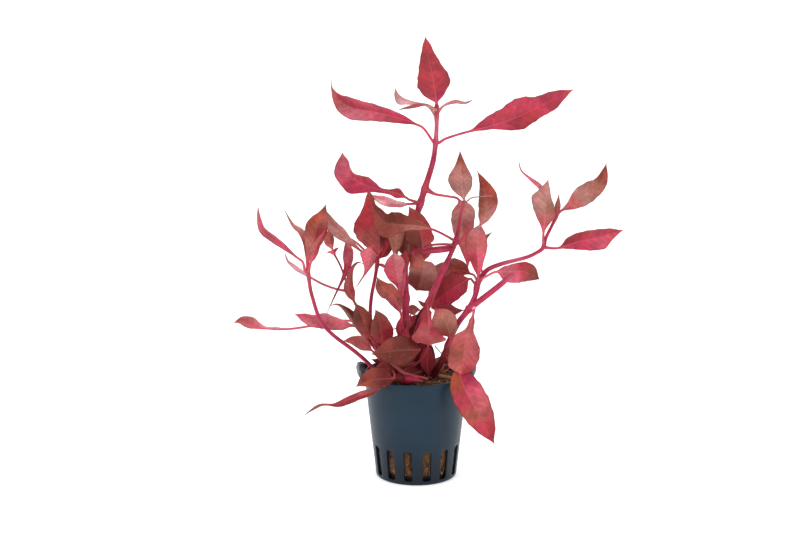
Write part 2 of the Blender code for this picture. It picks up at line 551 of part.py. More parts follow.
def centre_line(stem):
    """The points along a stem's middle, in metres."""
    points = [seen(spot) for spot in stem.path]
    if stem.root:
        root = Vector((*stem.root, PLUG_TOP)) * MM
        ahead = (points[0] - root).normalized()
        slant = Vector((ahead.x, ahead.y)).length
        points.insert(0, root + Vector((0, 0, GAP + slant * stem.low_radius * MM)))
    length = sum((b - a).length for a, b in zip(points, points[1:]))
    return evenly(points, max(4, round(length / MM / STEM_STEP)))


def radius_along(stem, share):
    return (stem.low_radius + (stem.high_radius - stem.low_radius) * share) * MM


def make_tube(stem, collection):
    """A stem as a tapering tube with closed ends, turned into a mesh."""
    data = bpy.data.curves.new(stem.name, "CURVE")
    data.dimensions = "3D"
    data.bevel_depth = 1
    data.bevel_resolution = 2
    data.use_fill_caps = True
    line = centre_line(stem)
    spline = data.splines.new("POLY")
    spline.points.add(len(line) - 1)
    for k, (spot, place) in enumerate(zip(spline.points, line)):
        spot.co = (*place, 1)
        spot.radius = radius_along(stem, k / (len(line) - 1))
    curve = add(stem.name + "_line", data, collection)
    bpy.context.view_layer.update()
    mesh = bpy.data.meshes.new_from_object(
        curve.evaluated_get(bpy.context.evaluated_depsgraph_get())
    )
    shape = bmesh.new()
    shape.from_mesh(mesh)
    bmesh.ops.remove_doubles(shape, verts=shape.verts, dist=0.000001)
    bpy.data.objects.remove(curve)
    tube = add(stem.name, mesh_of(stem.name, shape), collection)
    tube.data.shade_smooth()
    tube.data.set_sharp_from_angle(angle=math.radians(STEM_END_ANGLE))
    return tube


def make_stems(parts, cutters):
    """The stems, each with the side branches that fork from it."""
    for stem in STEMS:
        tube = make_tube(stem, parts)
        tube.data.materials.append(material(stem.name, (0.50, 0.03, 0.08), 0.4))
        for parent, branch in BRANCHES:
            if parent == stem.name:
                boolean(tube, helper(make_tube(branch, cutters)), "UNION")


def foot_of(leaf):
    """Where a leaf's stalk starts: at the side of its stem, just clear of it."""
    stems = {stem.name: stem for stem in STEMS + [branch for _, branch in BRANCHES]}
    stem = stems[leaf.stem]
    line = centre_line(stem)
    wanted = seen(leaf.stalk[0])
    fine = evenly(line, STEM_SPOTS)
    last = STEM_SPOTS - 1
    near = min(range(STEM_SPOTS), key=lambda k: (fine[k] - wanted).length)
    axis = (fine[min(near + 1, last)] - fine[max(near - 1, 0)]).normalized()
    if near == last:
        return fine[near] + axis * (GAP + TOP_CLEARANCE * MM)
    out = wanted - fine[near]
    out -= axis * out.dot(axis)
    clear = radius_along(stem, near / last) + GAP + STALK_HALF_WIDTH * MM
    return fine[near] + out.normalized() * clear


def half_width(widths, along):
    """How far an edge is seen from the midrib; along runs from 0 at the stalk to 1 at the tip."""
    return max(0, curve_point([0, *widths, 0], along))


def leaf_rows(leaf):
    """The rows of three points, left edge, midrib and right edge, from the stalk to the tip."""
    blade = [seen(spot) for spot in leaf.blade]
    stalk = [foot_of(leaf)] + [seen(spot) for spot in leaf.stalk[1:]] + blade[:1]
    middle = evenly(stalk, STALK_STATIONS + 1)[:-1] + evenly(blade, BLADE_STATIONS)
    rows = []
    for k, spot in enumerate(middle):
        ahead = (middle[min(k + 1, len(middle) - 1)] - middle[max(k - 1, 0)]).normalized()
        away = (spot - EYE).normalized()
        side = away.cross(ahead).normalized()
        along = max(0, (k - STALK_STATIONS) / (BLADE_STATIONS - 1))
        least = STALK_HALF_WIDTH + (TIP_HALF_WIDTH - STALK_HALF_WIDTH) * along
        edges = []
        for widths, behind, turn in (
            (leaf.left, leaf.left_back, -1), (leaf.right, leaf.right_back, 1),
        ):
            width = half_width(widths, along)
            depth = behind * width / max(widths)
            edges.append(spot + (side * turn * max(width, least) + away * depth) * MM)
        rows.append([edges[0], spot, edges[1]])
    return rows


def make_leaf(leaf, parts):
    """A leaf: an open sheet along its stalk and midrib, thickened, thicker at the stalk."""
    rows = leaf_rows(leaf)
    shape = bmesh.new()
    bmesh.ops.create_grid(shape, x_segments=2, y_segments=len(rows) - 1, size=1)
    for corner, place in zip(shape.verts, [place for row in rows for place in row]):
        corner.co = place
    mesh = bpy.data.meshes.new(leaf.name)
    shape.to_mesh(mesh)
    shape.free()
    made = add(leaf.name, mesh, parts)
    thick = made.vertex_groups.new(name="stalk")
    thick.add(range(3 * STALK_STATIONS), 1, "REPLACE")
    wall = made.modifiers.new("thickness", "SOLIDIFY")
    wall.thickness = STALK_THICKNESS * MM
    wall.offset = 0
    wall.vertex_group = thick.name
    wall.thickness_vertex_group = BLADE_THICKNESS / STALK_THICKNESS
    made.data.materials.append(material(leaf.name, TONES[leaf.tone], 0.5))


def main():
    for old in list(bpy.data.objects):
        bpy.data.objects.remove(old)
    parts = bpy.data.collections.new("alternanthera")
    cutters = bpy.data.collections.new("cutters")
    for collection in (parts, cutters):
        bpy.context.scene.collection.children.link(collection)
    make_pot(parts, cutters)
    make_plug(parts)
    make_stems(parts, cutters)
    for leaf in LEAVES:
        make_leaf(leaf, parts)


main()
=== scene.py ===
"""Alternanthera reineckii in its net pot, dressed for a close look: pot, wool, roots, stems, leaves.

Metres, +Z up. The origin is the centre of the pot's foot, +X is to the right and -Y towards
whoever looks at the plant from the front.

The plant's places are given in millimetres as (right, up, back): how far right of the pot's axis
and how far up a spot is seen, on an upright board through the axis, and how far behind it lies.
"""

import json
import math
import random
from typing import NamedTuple

import bmesh
import bpy
from bpy.props import FloatProperty, FloatVectorProperty, PointerProperty
from bpy.types import Operator, Panel, PropertyGroup
from mathutils import Matrix, Vector, noise

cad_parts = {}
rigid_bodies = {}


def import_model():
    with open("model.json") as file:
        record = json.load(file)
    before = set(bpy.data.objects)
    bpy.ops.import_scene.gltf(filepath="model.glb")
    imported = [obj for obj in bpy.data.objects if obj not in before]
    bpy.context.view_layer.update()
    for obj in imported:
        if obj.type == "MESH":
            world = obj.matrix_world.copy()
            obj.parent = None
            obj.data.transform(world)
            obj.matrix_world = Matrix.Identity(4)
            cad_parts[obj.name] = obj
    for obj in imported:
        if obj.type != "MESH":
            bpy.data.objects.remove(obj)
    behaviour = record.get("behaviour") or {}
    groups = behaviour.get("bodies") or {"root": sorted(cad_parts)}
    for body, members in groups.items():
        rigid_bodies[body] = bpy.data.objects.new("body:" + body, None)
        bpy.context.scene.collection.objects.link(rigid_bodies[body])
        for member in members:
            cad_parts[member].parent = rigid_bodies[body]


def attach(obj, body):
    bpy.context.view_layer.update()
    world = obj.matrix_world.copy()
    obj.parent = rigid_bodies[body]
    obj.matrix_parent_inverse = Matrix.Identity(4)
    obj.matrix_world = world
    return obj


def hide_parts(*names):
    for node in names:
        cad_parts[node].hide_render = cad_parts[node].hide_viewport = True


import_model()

bl_info = {
    "name": "Alternanthera in a net pot",
    "version": (1, 0, 0),
    "blender": (4, 5, 0),
    "location": "3D View > Sidebar > Alternanthera",
    "description": "Builds a red aquarium plant in its net pot, piece by piece",
    "category": "Object",
}

MM = 0.001
UP = Vector((0, 0, 1))
WELD = 1e-7  # metres; corners nearer than this are joined

# The eye that sees the plant from the front
EYE = Vector((-7.6, -1138.0, 380.8)) * MM
EYE_DOWN = 13.837  # degrees below level
EYE_LENS = 114.04  # millimetres, on a sensor 36 wide

# Studio
AIR_STRENGTH = 0.34
PAPER_GLOW = 0.48  # what the paper gives off by itself, so that it stays white

# Pot, millimetres
POT_HEIGHT = 50.0
FOOT_RADIUS = 18.8
RIM_RADIUS = 24.4
FOOT_ROUND = 1.2
SLOTS = 14
SLOT_LOW = 2.1
SLOT_HIGH = 16.5
FIRST_SLOT_ANGLE = 14.4  # degrees from the front, towards the right
COLUMNS_A_SLOT = 12  # columns of faces from one slot's middle to the next one's
SLOT_COLUMNS = 3  # from a slot's middle to its edge
SLOT_CORNER = 0.35  # how far up or down a slot's corners are cut off
CORNER_TURN = 0.3  # how far in from the slot's side they are
FLOOR_SPACING = 2 * COLUMNS_A_SLOT  # columns from one slot of the floor to the next
FLOOR_SLOT_COLUMNS = 2
FLOOR_HALF_SLOT = 1.5  # half of such a slot's width
FLOOR_SLOT_INNER = 6.0  # from the pot's axis
FLOOR_SLOT_OUTER = 15.0
ON_FLOOR = 0.01 * MM  # metres; what lies lower is on the pot's floor
EDGE_ROUND = 0.16  # of all edges that the mould left
EAR_ROOT = 24.0  # from the pot's axis to where an ear leaves the rim
EAR_FOOT = 48.0  # its height there
EAR_REACH = 28.2
EAR_HALF_ANGLE = 20.0  # degrees
PLUG_TOP = 47.0
WOOL_GAP = 1.6  # from the wall's outside to the wool
SIDE_BUMPS = 0.35  # how far the wool's side is uneven
TOP_ROOTS = 230
ROOTS_A_SLOT = 13

# Stems and leaves, millimetres
STEM_SIDES = 20
STEM_STEP = 1.1  # between two rings of a stem
STEM_SUNK = 3  # how far a stem's foot is sunk in the wool
STEM_END = 0.6  # share of its radius that a stem ends with
WOOL_RINGS = 8  # rings of a stem that are too near its foot for leaves
NODE_REACH = 1.9  # how far a stem's swelling at a leaf reaches along it
NODE_PINK = 0.2  # how much pinker a stem is there
FORK_SWELLING = 0.5  # share that a branch is thicker by at its foot
FORK_REACH = 1.5  # how far along a branch its thicker foot reaches
ROW_STEP = 0.75  # between two rows of a leaf
STALK_STEP = 0.8  # between two rows of its stalk
CURVE_STEPS = 240  # steps that a curve is measured in
SHEATH_REACH = 2.2  # how far up a stalk the part reaches that clasps the stem
STALK_HALF_WIDTH = 0.55
STALK_ROUND = 0.9  # thickness of a stalk at its middle
TIP_HALF_WIDTH = 0.12
FULL_THICKNESS = 1.0  # the most that a leaf's thickness can be
RIM_THICKNESS = 0.1  # of a leaf at its very edge
RIPPLE = 0.022  # how far a leaf's outline wavers, as a share of its half width
WAVE_TURN = 6.28  # radians from one wave of a leaf to the next
VEIN_LEAN = 0.85  # how far side veins run ahead, for each millimetre that they run out
VEIN_CURVE = 0.03  # how much more they run ahead towards the edge
MIDRIB_DEPTH = 0.2  # how far the midrib is sunk
MIDRIB_WIDTH = 0.5
RIB_WIDTH = 0.4  # of the thicker part along the midrib

SIZES = [
    # property, name, description, default, unit
    ("wall", "Pot wall", "How thick the pot's wall is", 1.1 * MM, "LENGTH"),
    ("slot_width", "Slot width", "Width of the slots near the pot's foot", 3.9 * MM, "LENGTH"),
    ("blade_thickness", "Leaf thickness", "How thick a leaf is between its veins", 0.34 * MM, "LENGTH"),
    ("vein_relief", "Vein relief", "How far a leaf swells between its veins", 0.18 * MM, "LENGTH"),
    ("node_swelling", "Node swelling", "Share that a stem swells by where a leaf leaves it", 0.3, "NONE"),
    ("wool_bumps", "Wool bumps", "How far the wool's top is uneven", 1.3 * MM, "LENGTH"),
]


def tone(red, green, blue):
    """The linear colour of what looks like this red, green and blue out of 255."""
    def linear(share):
        return share / 12.92 if share <= 0.04045 else ((share + 0.055) / 1.055) ** 2.4
    return tuple(linear(value / 255) for value in (red, green, blue))


TONES = {
    # Leaves and stems
    "crimson": tone(186, 56, 76),
    "magenta": tone(196, 51, 83),
    "cerise": tone(176, 39, 72),
    "rose": tone(172, 49, 59),
    "ruby": tone(154, 42, 49),
    "pink": tone(206, 81, 101),
    "blush": tone(216, 107, 121),
    "salmon": tone(188, 86, 88),
    "mauve": tone(186, 122, 114),
    "shell": tone(226, 157, 164),
    "fawn": tone(172, 101, 88),
    "copper": tone(162, 74, 63),
    "brown": tone(136, 55, 45),
    "umber": tone(112, 40, 29),
    "maroon": tone(112, 22, 22),
    # Painted shade: crimson darkened for the shade low in the plant
    "claret": tone(90, 12, 12),
    "orange": tone(178, 72, 50),
    "olive": tone(140, 95, 76),
    # Pot and wool
    "slate": tone(13, 41, 59),
    "slate_pale": tone(22, 54, 74),
    # Painted shade for the pot's foot
    "slate_foot_shade": tone(3, 18, 32),
    "smoke": tone(48, 54, 58),
    # Painted backlight on the ears
    "smoke_backlit": tone(132, 138, 140),
    # Painted shade in the ears' hollows
    "ear_cavity_shade": tone(30, 14, 16),
    "wool": tone(92, 60, 36),
    "rust": tone(134, 86, 46),
    "straw": tone(186, 130, 84),
    "ochre": tone(128, 90, 48),
    "peat": tone(52, 36, 26),
}


class Stem(NamedTuple):
    """A stem: where it leaves the plug (x, y), the spots that it passes, its radii and colours.

    radii and tones run at even places from its foot to its end. tones is a row of names, and
    parent is the stem that it forks from.
    """

    name: str
    root: tuple
    path: list
    radii: tuple
    tones: str
    parent: str = ""


class Leaf(NamedTuple):
    """A leaf: the stem that it grows from, the spots along its stalk and along its midrib.

    left and right are how far its edges are seen from the midrib, at even places between the
    stalk and the tip, and left_back and right_back are how far the edges lie behind the midrib
    where the blade is widest. finish names its look, without the word leaf, but nothing here reads
    it. The tones run from the stalk to the tip, on each half of the side that is seen; reverse is
    the other side's. ruffle is how far the edges wave, and sheath is the stalk's half width where
    it clasps the stem.
    """

    name: str
    stem: str
    stalk: list
    blade: list
    left: tuple
    right: tuple
    left_back: float
    right_back: float
    finish: str
    left_tones: str
    right_tones: str
    reverse: str
    stalk_tone: str = "magenta"
    ruffle: float = 0.35
    sheath: float = 0.9


STEMS = [
    Stem("main_stem", (-5, 1), [(-5, 60, 1), (-5, 85, 1), (-5, 100, 0.5), (-3, 112, 0), (0.5, 126, 0.5),
        (4.6, 140, 1), (7.5, 150, 1.5), (8.6, 158, 2), (9.1, 166, 2), (9.1, 176.6, 2)],
        (1.7, 1.65, 1.6, 1.7, 1.25, 1.15, 1.35, 1.4, 1.25, 1, 0.95),
        "maroon maroon ruby cerise cerise ruby cerise cerise crimson cerise blush cerise"),
    Stem("left_outer_stem", (-13, -6), [(-20, 51.5, -7), (-25, 56.5, -8), (-30.5, 61.2, -8.4),
        (-36.8, 66, -9), (-41.5, 70.4, -9.4), (-44.8, 75, -9.6), (-46.6, 80, -10), (-48, 85, -10.6),
        (-49.2, 90, -11.2), (-50.3, 99.5, -12)],
        (0.95, 0.85), "maroon ruby cerise cerise cerise magenta crimson pink"),
    Stem("left_inner_stem", (-12, 2), [(-17, 58, 3), (-19.5, 65, 3), (-21.3, 75, 3), (-21, 85, 2.5),
        (-19, 96, 2), (-17.8, 104.4, 2)],
        (0.95, 0.8), "cerise magenta magenta cerise crimson"),
    Stem("left_back_stem", (-12, 9), [(-18.5, 62.5, 9), (-22, 71, 9), (-25, 77, 8.5), (-28, 82, 8),
        (-31.5, 90, 7), (-34.8, 100, 5), (-38.3, 107, 4)],
        (0.8, 0.45), "ruby ruby rose salmon rose"),
    Stem("centre_right_stem", (1, 3), [(-0.5, 66, 4), (2.8, 76, 4), (5, 81.5, 4), (8.5, 90, 3.5),
        (12.2, 98.5, 3), (16.3, 107.5, 3), (17.6, 111.5, 3), (19, 117, 3), (20.6, 126, 3),
        (21.9, 131.4, 3)],
        (1.1, 1.1, 1.15, 1.3, 1.5, 1.55, 1.4, 1.1, 0.95, 0.85, 0.75),
        "maroon ruby cerise crimson magenta cerise cerise salmon"),
    Stem("right_stem", (7, -2), [(12.6, 56.5, -3), (15.4, 64.5, -3), (17.6, 70, -3), (20, 74.3, -3),
        (23.3, 78.7, -3), (25.3, 82, -3), (27.4, 87, -2.5), (28.2, 92, -2), (30, 95.5, -2),
        (33, 99, -2.4), (38, 101.3, -3), (43, 102.8, -3.6), (50, 104.6, -4.6), (54.5, 106.5, -5.4),
        (58.3, 109.2, -6), (59.3, 113, -6), (61, 117, -6), (64.6, 124.5, -6)],
        (1.4, 1.4, 1.35, 1.2, 1, 0.85, 0.7),
        "claret maroon ruby cerise magenta cerise cerise pink magenta magenta crimson"),
]

# Side branches, each made with the stem that it forks from
BRANCHES = [
    Stem("right_low_branch", None, [(24.2, 80, -3.2), (27, 82.2, -4), (30, 84.6, -4.5), (35, 88.6, -5),
        (40, 92.8, -5.4), (44.6, 97, -5.4)],
        (1.4, 1.4, 1.25), "magenta magenta magenta pink", "right_stem"),
    Stem("bridge_branch", None, [(-2.6, 107, -1), (5, 108, -1), (11, 108.6, 0), (16.4, 109.2, 3)],
        (1.1, 1.45, 1.6, 1.4), "crimson crimson magenta cerise", "centre_right_stem"),
]

CROWN_LEAVES = [
    Leaf("crown_front_leaf", "main_stem", [(9.1, 176.6, 1.5)],
        [(9.1, 177, 1.4), (7.8, 186, -4), (5.8, 196, -9), (3.8, 207.5, -14)],
        (3.9, 6.3, 7.5, 7.1, 6.1, 5.1, 4, 2.8, 1.6), (3.2, 5.6, 7.4, 7.4, 5.9, 4.8, 3.6, 2.5, 1.6), -1.5,
        -1.5, "crimson",
        "crimson rose rose ruby", "cerise rose rose rose", "pink", "crimson", 0.2),
    Leaf("crown_left_leaf", "main_stem", [(8, 158.5, 1), (3.5, 165, -0.5)],
        [(0, 167.2, -2), (-10, 170.6, -5), (-20, 173, -8), (-29, 174.6, -11), (-35.5, 178.5, -13.5),
         (-38.6, 184.3, -15), (-38.6, 188.4, -16)],
        (1.4, 2.4, 3.2, 3.9, 4.5, 4.9, 4.4, 2.3, 0.4), (1.5, 2.4, 3, 3.5, 4, 4.4, 4.2, 2.5, 0.4), -5, 5,
        "crimson",
        "magenta crimson pink blush salmon fawn", "magenta magenta crimson crimson crimson mauve", "pink"),
    Leaf("crown_right_leaf", "main_stem", [(9, 159, 2), (13, 160.5, 2.5), (18, 162.3, 3)],
        [(24, 164, 4), (35, 166.8, 7), (45, 170.3, 9), (55, 175, 11.5), (65, 180.2, 14),
         (71.3, 183.4, 15.5)],
        (3, 5.2, 6.2, 7.8, 7.6, 5, 4.2, 2.6), (0.9, 1.8, 4.2, 6.1, 5.4, 4.6, 4.4, 2.2), 2, -1.5, "crimson",
        "magenta crimson crimson crimson crimson crimson", "pink crimson rose crimson crimson", "pink"),
    Leaf("crown_back_left_leaf", "main_stem", [(8.6, 171, 3), (6.4, 174.4, 6)],
        [(4, 176.2, 8), (-2, 177.4, 13), (-6.5, 179, 17.5), (-8.8, 181.3, 21), (-9.8, 184, 24)],
        (0.4, 0.9, 1.8, 3, 1.6), (0.3, 0.5, 0.6, 0.7, 0.4), -3, 3, "mauve",
        "mauve shell mauve", "mauve mauve mauve", "crimson", "mauve", 0.15),
    Leaf("crown_back_right_leaf", "main_stem", [(9.4, 172.4, 3)],
        [(11.6, 175.3, 5), (14.4, 177, 8), (18, 177.8, 12), (22, 177.2, 16), (25.2, 178.4, 20)],
        (0.4, 0.7, 0.8, 0.6, 0.4), (0.4, 0.7, 0.8, 0.6, 0.4), 4, -4, "mauve",
        "shell pink mauve ruby", "shell pink mauve maroon", "crimson", "mauve", 0.15),
    Leaf("crown_young_leaf", "main_stem", [(8.4, 174.4, 0.5)],
        [(4.6, 176.3, -1.5), (0, 176.2, -4.5), (-4, 175.2, -7), (-8, 174.1, -9.5)],
        (0.5, 0.9, 1, 0.7, 0.3), (0.4, 0.6, 0.6, 0.4, 0.2), -3, 2.5, "dark",
        "mauve rose ruby maroon", "mauve ruby ruby maroon", "rose", "mauve", 0.15),
    Leaf("shoulder_left_leaf", "main_stem", [(0.6, 130.8, -1), (-3.5, 132.2, -1.5)],
        [(-5, 133.2, -2), (-10.5, 135.4, -4), (-17, 136.6, -6), (-23, 138.6, -8.4), (-28.4, 141.6, -11),
         (-32.5, 146.4, -13), (-34, 154.2, -14)],
        (1.9, 1.2, 1.1, 1.9, 3.9, 6.4, 6.2, 5.6, 3.2), (2.6, 1.1, 1.1, 3, 4, 3.2, 2, 2.2, 2.2), -4, 4,
        "crimson",
        "rose magenta magenta magenta pink salmon", "rose rose magenta crimson pink salmon", "pink",
        "ruby"),
    Leaf("shoulder_left_back_leaf", "main_stem", [(0.6, 130.6, 3)],
        [(-3.5, 130.1, 5), (-10, 130, 11), (-16, 131.8, 17), (-22.4, 134.8, 23)],
        (1.2, 1.3, 1.8, 1.8, 1), (1.2, 1.9, 2.4, 2.2, 1), -4, 4, "mauve",
        "shell pink shell salmon", "shell shell blush salmon", "crimson"),
    Leaf("hanging_right_leaf", "main_stem", [(4.6, 137.4, 0), (9, 134.6, 0), (15, 133.6, 2)],
        [(19.4, 132.1, 5), (21, 125.5, 10), (21, 117, 12), (22.4, 108, 10.5), (23.9, 99.5, 7.5)],
        (5.3, 5.8, 5.2, 4.4, 2.8), (4, 5.2, 4.2, 2.6, 1.1), 1.5, 2, "mauve",
        "salmon mauve salmon salmon crimson", "salmon mauve mauve salmon crimson", "rose", "crimson", 0.4,
        2.6),
]
SHOOT_LEAVES = [
    Leaf("right_shoot_upright_leaf", "centre_right_stem", [(21.9, 131.4, 3)],
        [(21.8, 132.2, 3), (20.7, 139, 6), (20.3, 147, 9), (19.8, 155.2, 12)],
        (3.4, 5.7, 5.7, 3.1, 1.4), (3.6, 5.1, 4.6, 2.7, 1.3), 1.5, 1.5, "mauve",
        "mauve mauve mauve mauve copper umber", "mauve mauve mauve fawn copper umber", "salmon", "mauve"),
    Leaf("right_shoot_side_leaf", "centre_right_stem", [(18.4, 112, 3), (24, 116.8, 5)],
        [(28.9, 119.6, 9.5), (31.5, 125, 13.5), (32.3, 131, 16), (31, 138, 18), (27.7, 145.8, 19)],
        (2.6, 3.7, 3.8, 2.6, 1.1), (2.4, 4.3, 5.3, 3.8, 1.7), 2, 1, "brown",
        "mauve fawn fawn copper orange", "mauve mauve copper orange copper", "salmon"),
    Leaf("canopy_brown_leaf", "centre_right_stem", [(17.2, 112.4, 1.4), (12, 116, -4)],
        [(6.5, 118.4, -8), (0, 119.8, -12), (-8, 120.4, -16), (-15, 121.6, -19.5), (-20.5, 128, -22)],
        (1.6, 2.2, 4.1, 6.6, 3.2), (2.2, 3.7, 5.4, 5.2, 3), -2, 3, "brown",
        "fawn fawn copper brown brown", "copper copper umber umber brown", "fawn", "cerise"),
    Leaf("canopy_back_leaf", "centre_right_stem", [(17, 111, 2), (12.5, 111.1, -2.6), (6.5, 110.6, -4)],
        [(3.2, 109, -4.2), (2.6, 113.4, -4.6), (0.7, 120.6, -4.6), (-3.5, 129, -4.6)],
        (6.6, 7.4, 6.4, 4.7, 2.3), (5.2, 5.3, 4.8, 3.9, 2.3), 0.6, 0.6, "brown",
        "maroon umber brown rose brown", "copper rose rose brown copper", "salmon", "ruby"),
]
CENTRE_LEAVES = [
    Leaf("centre_pink_leaf", "main_stem", [(-6.2, 84.6, 0)],
        [(-7.5, 88, -1.8), (-8.6, 94, -4.6), (-9.6, 100, -8), (-10.4, 107.5, -12)],
        (1.3, 3.8, 5.2, 5.2, 3.4), (1.3, 2.2, 3, 4.4, 3.8), -1, 0.6, "pink",
        "magenta pink pink salmon", "pink blush blush mauve", "pink"),
    Leaf("centre_left_leaf", "main_stem", [(-6, 75, 0)],
        [(-7.2, 78, -2.4), (-8.8, 83, -6), (-11.5, 87.5, -10), (-15, 90, -13), (-18.3, 95.5, -17)],
        (2.2, 3.3, 3.7, 3.8, 2.8), (1.4, 3.1, 3.4, 3.8, 1.8), 2, -1.5, "brown",
        "rose salmon copper brown", "salmon copper copper orange", "salmon"),
    Leaf("centre_back_leaf", "main_stem", [(-3.6, 104, 3)],
        [(3.8, 102.6, 8), (3.3, 98.8, 13), (2, 94.4, 17.4), (0, 89, 20)],
        (4, 6.4, 7.4, 7.6, 7, 6.4, 6.2, 5.8), (4, 6.2, 6.8, 6.8, 6.4, 6, 6, 5.6), -1, 1.5, "brown",
        "mauve mauve fawn brown", "mauve fawn brown umber", "fawn"),
    Leaf("centre_top_leaf", "main_stem", [(-3.6, 107.4, 2)],
        [(-2.6, 106.9, -1), (-0.6, 105.4, -2.4), (2, 103, -3), (4.8, 100.2, -3)],
        (1.4, 2.4, 2.4, 1.8, 1), (2.6, 4.4, 4.6, 3.6, 2.2), -1.5, 1.5, "brown",
        "rose copper fawn", "rose copper fawn", "salmon"),
    Leaf("inner_right_leaf", "right_stem", [(28, 91.4, 0.5), (26.2, 93.4, 3)],
        [(24.4, 94.6, 5), (19.5, 91.6, 10), (13.5, 87.8, 14), (5.5, 81, 17)],
        (3.8, 5.2, 5.8, 5.6, 3.8), (5.6, 6.8, 7, 7, 5), -1, 1, "dark",
        "rose magenta magenta crimson", "rose rose ruby rose", "salmon", "ruby"),
    Leaf("inner_right_upper_leaf", "right_stem", [(28.4, 93.6, 1), (26.8, 96.2, 8)],
        [(25, 97, 12), (20, 98.8, 17), (12, 97.4, 21), (3, 92.6, 24)],
        (2.4, 4.6, 5, 4.8, 3.4), (3.4, 5.6, 4.8, 4.6, 3.4), -1, 1.5, "dark",
        "rose salmon mauve fawn", "rose copper fawn mauve fawn", "salmon", "ruby"),
    Leaf("hanging_front_leaf", "centre_right_stem", [(5.4, 82.4, 2)],
        [(5.3, 80.6, -1.4), (5.6, 75, -8), (6, 69.5, -14.5), (6.2, 62.6, -21)],
        (1.6, 1.5, 1.4, 1.6, 2.4, 4.2, 6.2, 7.6), (2.8, 3.2, 3.6, 4.2, 5.2, 6.8, 8.2, 7.2), 1, 1, "pink",
        "crimson pink rose salmon", "rose rose salmon rose", "pink"),
    Leaf("round_front_leaf", "right_stem", [(14.6, 62, -5)],
        [(15.9, 66, -6), (14.6, 71, -8), (12, 76, -9), (8.5, 80, -9)],
        (3.6, 5.6, 6.4, 6, 4.6), (3, 4.8, 5.6, 5.4, 3.6), 1.5, 1, "brown",
        "rose copper fawn copper", "copper fawn fawn copper", "salmon"),
]
RIGHT_LEAVES = [
    Leaf("right_upright_leaf", "right_stem", [(28.3, 92.2, -4)],
        [(28.6, 95.2, -5), (28.4, 102, -8), (28.2, 110, -11), (29.5, 121, -14)],
        (1.9, 3.6, 5.2, 5.6, 4.6), (1.8, 2.9, 4.3, 4.3, 2.9), 1.5, 1.5, "mauve",
        "crimson rose salmon mauve", "magenta pink salmon salmon", "rose"),
    Leaf("right_hidden_leaf", "right_stem", [(30, 94.6, 0), (30.6, 97.4, 3)],
        [(29.8, 100, 5), (29.6, 106.5, 8), (31, 112.6, 11), (35, 116.9, 14)],
        (1.5, 2.6, 3, 2, 1), (1.2, 2, 2, 1.2, 0.5), 1, 0, "mauve",
        "salmon fawn olive", "salmon fawn olive", "salmon"),
    Leaf("right_low_leaf", "right_stem", [(29.6, 94.2, -4), (33, 96.2, -4.4)],
        [(37, 98, -3.4), (44, 98.2, -1), (50, 98, 3), (57, 94.4, 8)],
        (2, 2.9, 3.6, 4.2, 4.6, 4.4, 2.4), (4, 5.1, 5.5, 5.4, 4.9, 3.7, 2), -0.5, 2, "crimson",
        "pink blush rose brown umber", "blush blush pink rose brown umber", "salmon", "pink"),
    Leaf("right_front_leaf", "right_low_branch", [(26.6, 79.6, -5)],
        [(26.4, 77.4, -7.4), (25.2, 71.6, -11), (23, 64, -15.4), (22, 56, -19.6), (21, 48.4, -23)],
        (1.2, 1.4, 2.1, 4.2, 6, 6.9, 7.3, 7, 6.3, 5), (1.2, 1.4, 2.1, 4.4, 6.2, 7.1, 7.3, 7.3, 7, 6.2), 1,
        1, "salmon",
        "crimson salmon salmon rose", "salmon salmon copper salmon", "rose", "pink", 0.5),
    Leaf("right_rim_leaf", "right_stem", [(13.6, 57, -6), (16.4, 54, -12)],
        [(18.6, 53.6, -18), (22.2, 43, -22.4), (28.2, 31, -26.5), (36.8, 14.5, -29)],
        (5.4, 7.4, 7.7, 6.6, 4.2), (5, 7, 7.2, 6, 3.6), 2, -1, "rose",
        "rose cerise pink salmon rose rose", "brown orange crimson copper crimson rose", "salmon", "ruby",
        0.4),
    Leaf("far_right_upright_leaf", "right_stem", [(58.4, 110.6, -8)],
        [(58.5, 116, -9), (59, 122, -12), (59.4, 131, -16), (60.4, 141.8, -19)],
        (1.8, 4, 5.6, 6.6, 3.2), (1.7, 4.6, 4.4, 2.6, 1.3), 1.5, 1.5, "mauve",
        "magenta salmon mauve mauve mauve", "magenta salmon fawn mauve mauve", "salmon", "crimson"),
    Leaf("far_right_edge_leaf", "right_stem", [(64.2, 124.4, -3.5)],
        [(63.2, 127.4, -1.5), (60.4, 133, 1), (56.6, 138.2, 4), (51.6, 142.4, 8), (48, 145.7, 11),
         (46.8, 150.2, 14)],
        (0.6, 0.9, 1, 0.5, 0.2), (0.6, 0.9, 1, 0.5, 0.2), 4, -3, "mauve",
        "salmon salmon pink crimson", "mauve salmon pink rose", "pink", "crimson", 0.15),
    Leaf("far_right_top_leaf", "right_stem", [(64.8, 125.4, -6)],
        [(66.4, 126.8, -6), (72, 130.5, -3), (79, 135.5, 1), (84.5, 140, 4), (86.9, 149.3, 6)],
        (2, 4.6, 4.7, 3.8, 2), (2.4, 4.1, 4.3, 3.2, 2), 2, -2, "salmon",
        "salmon salmon mauve fawn brown brown", "crimson salmon mauve fawn copper brown", "rose",
        "crimson"),
    Leaf("far_right_low_leaf", "right_stem", [(59.6, 109.2, -6.4)],
        [(65.5, 109.3, -7), (74, 112, -10), (84, 114.3, -14), (95.3, 117.8, -17)],
        (3.2, 4.1, 4.2, 3.6, 2.4), (2.1, 3.9, 5.1, 5.6, 2.4), 4, -4, "crimson",
        "cerise rose crimson rose", "pink magenta pink crimson", "pink"),
]
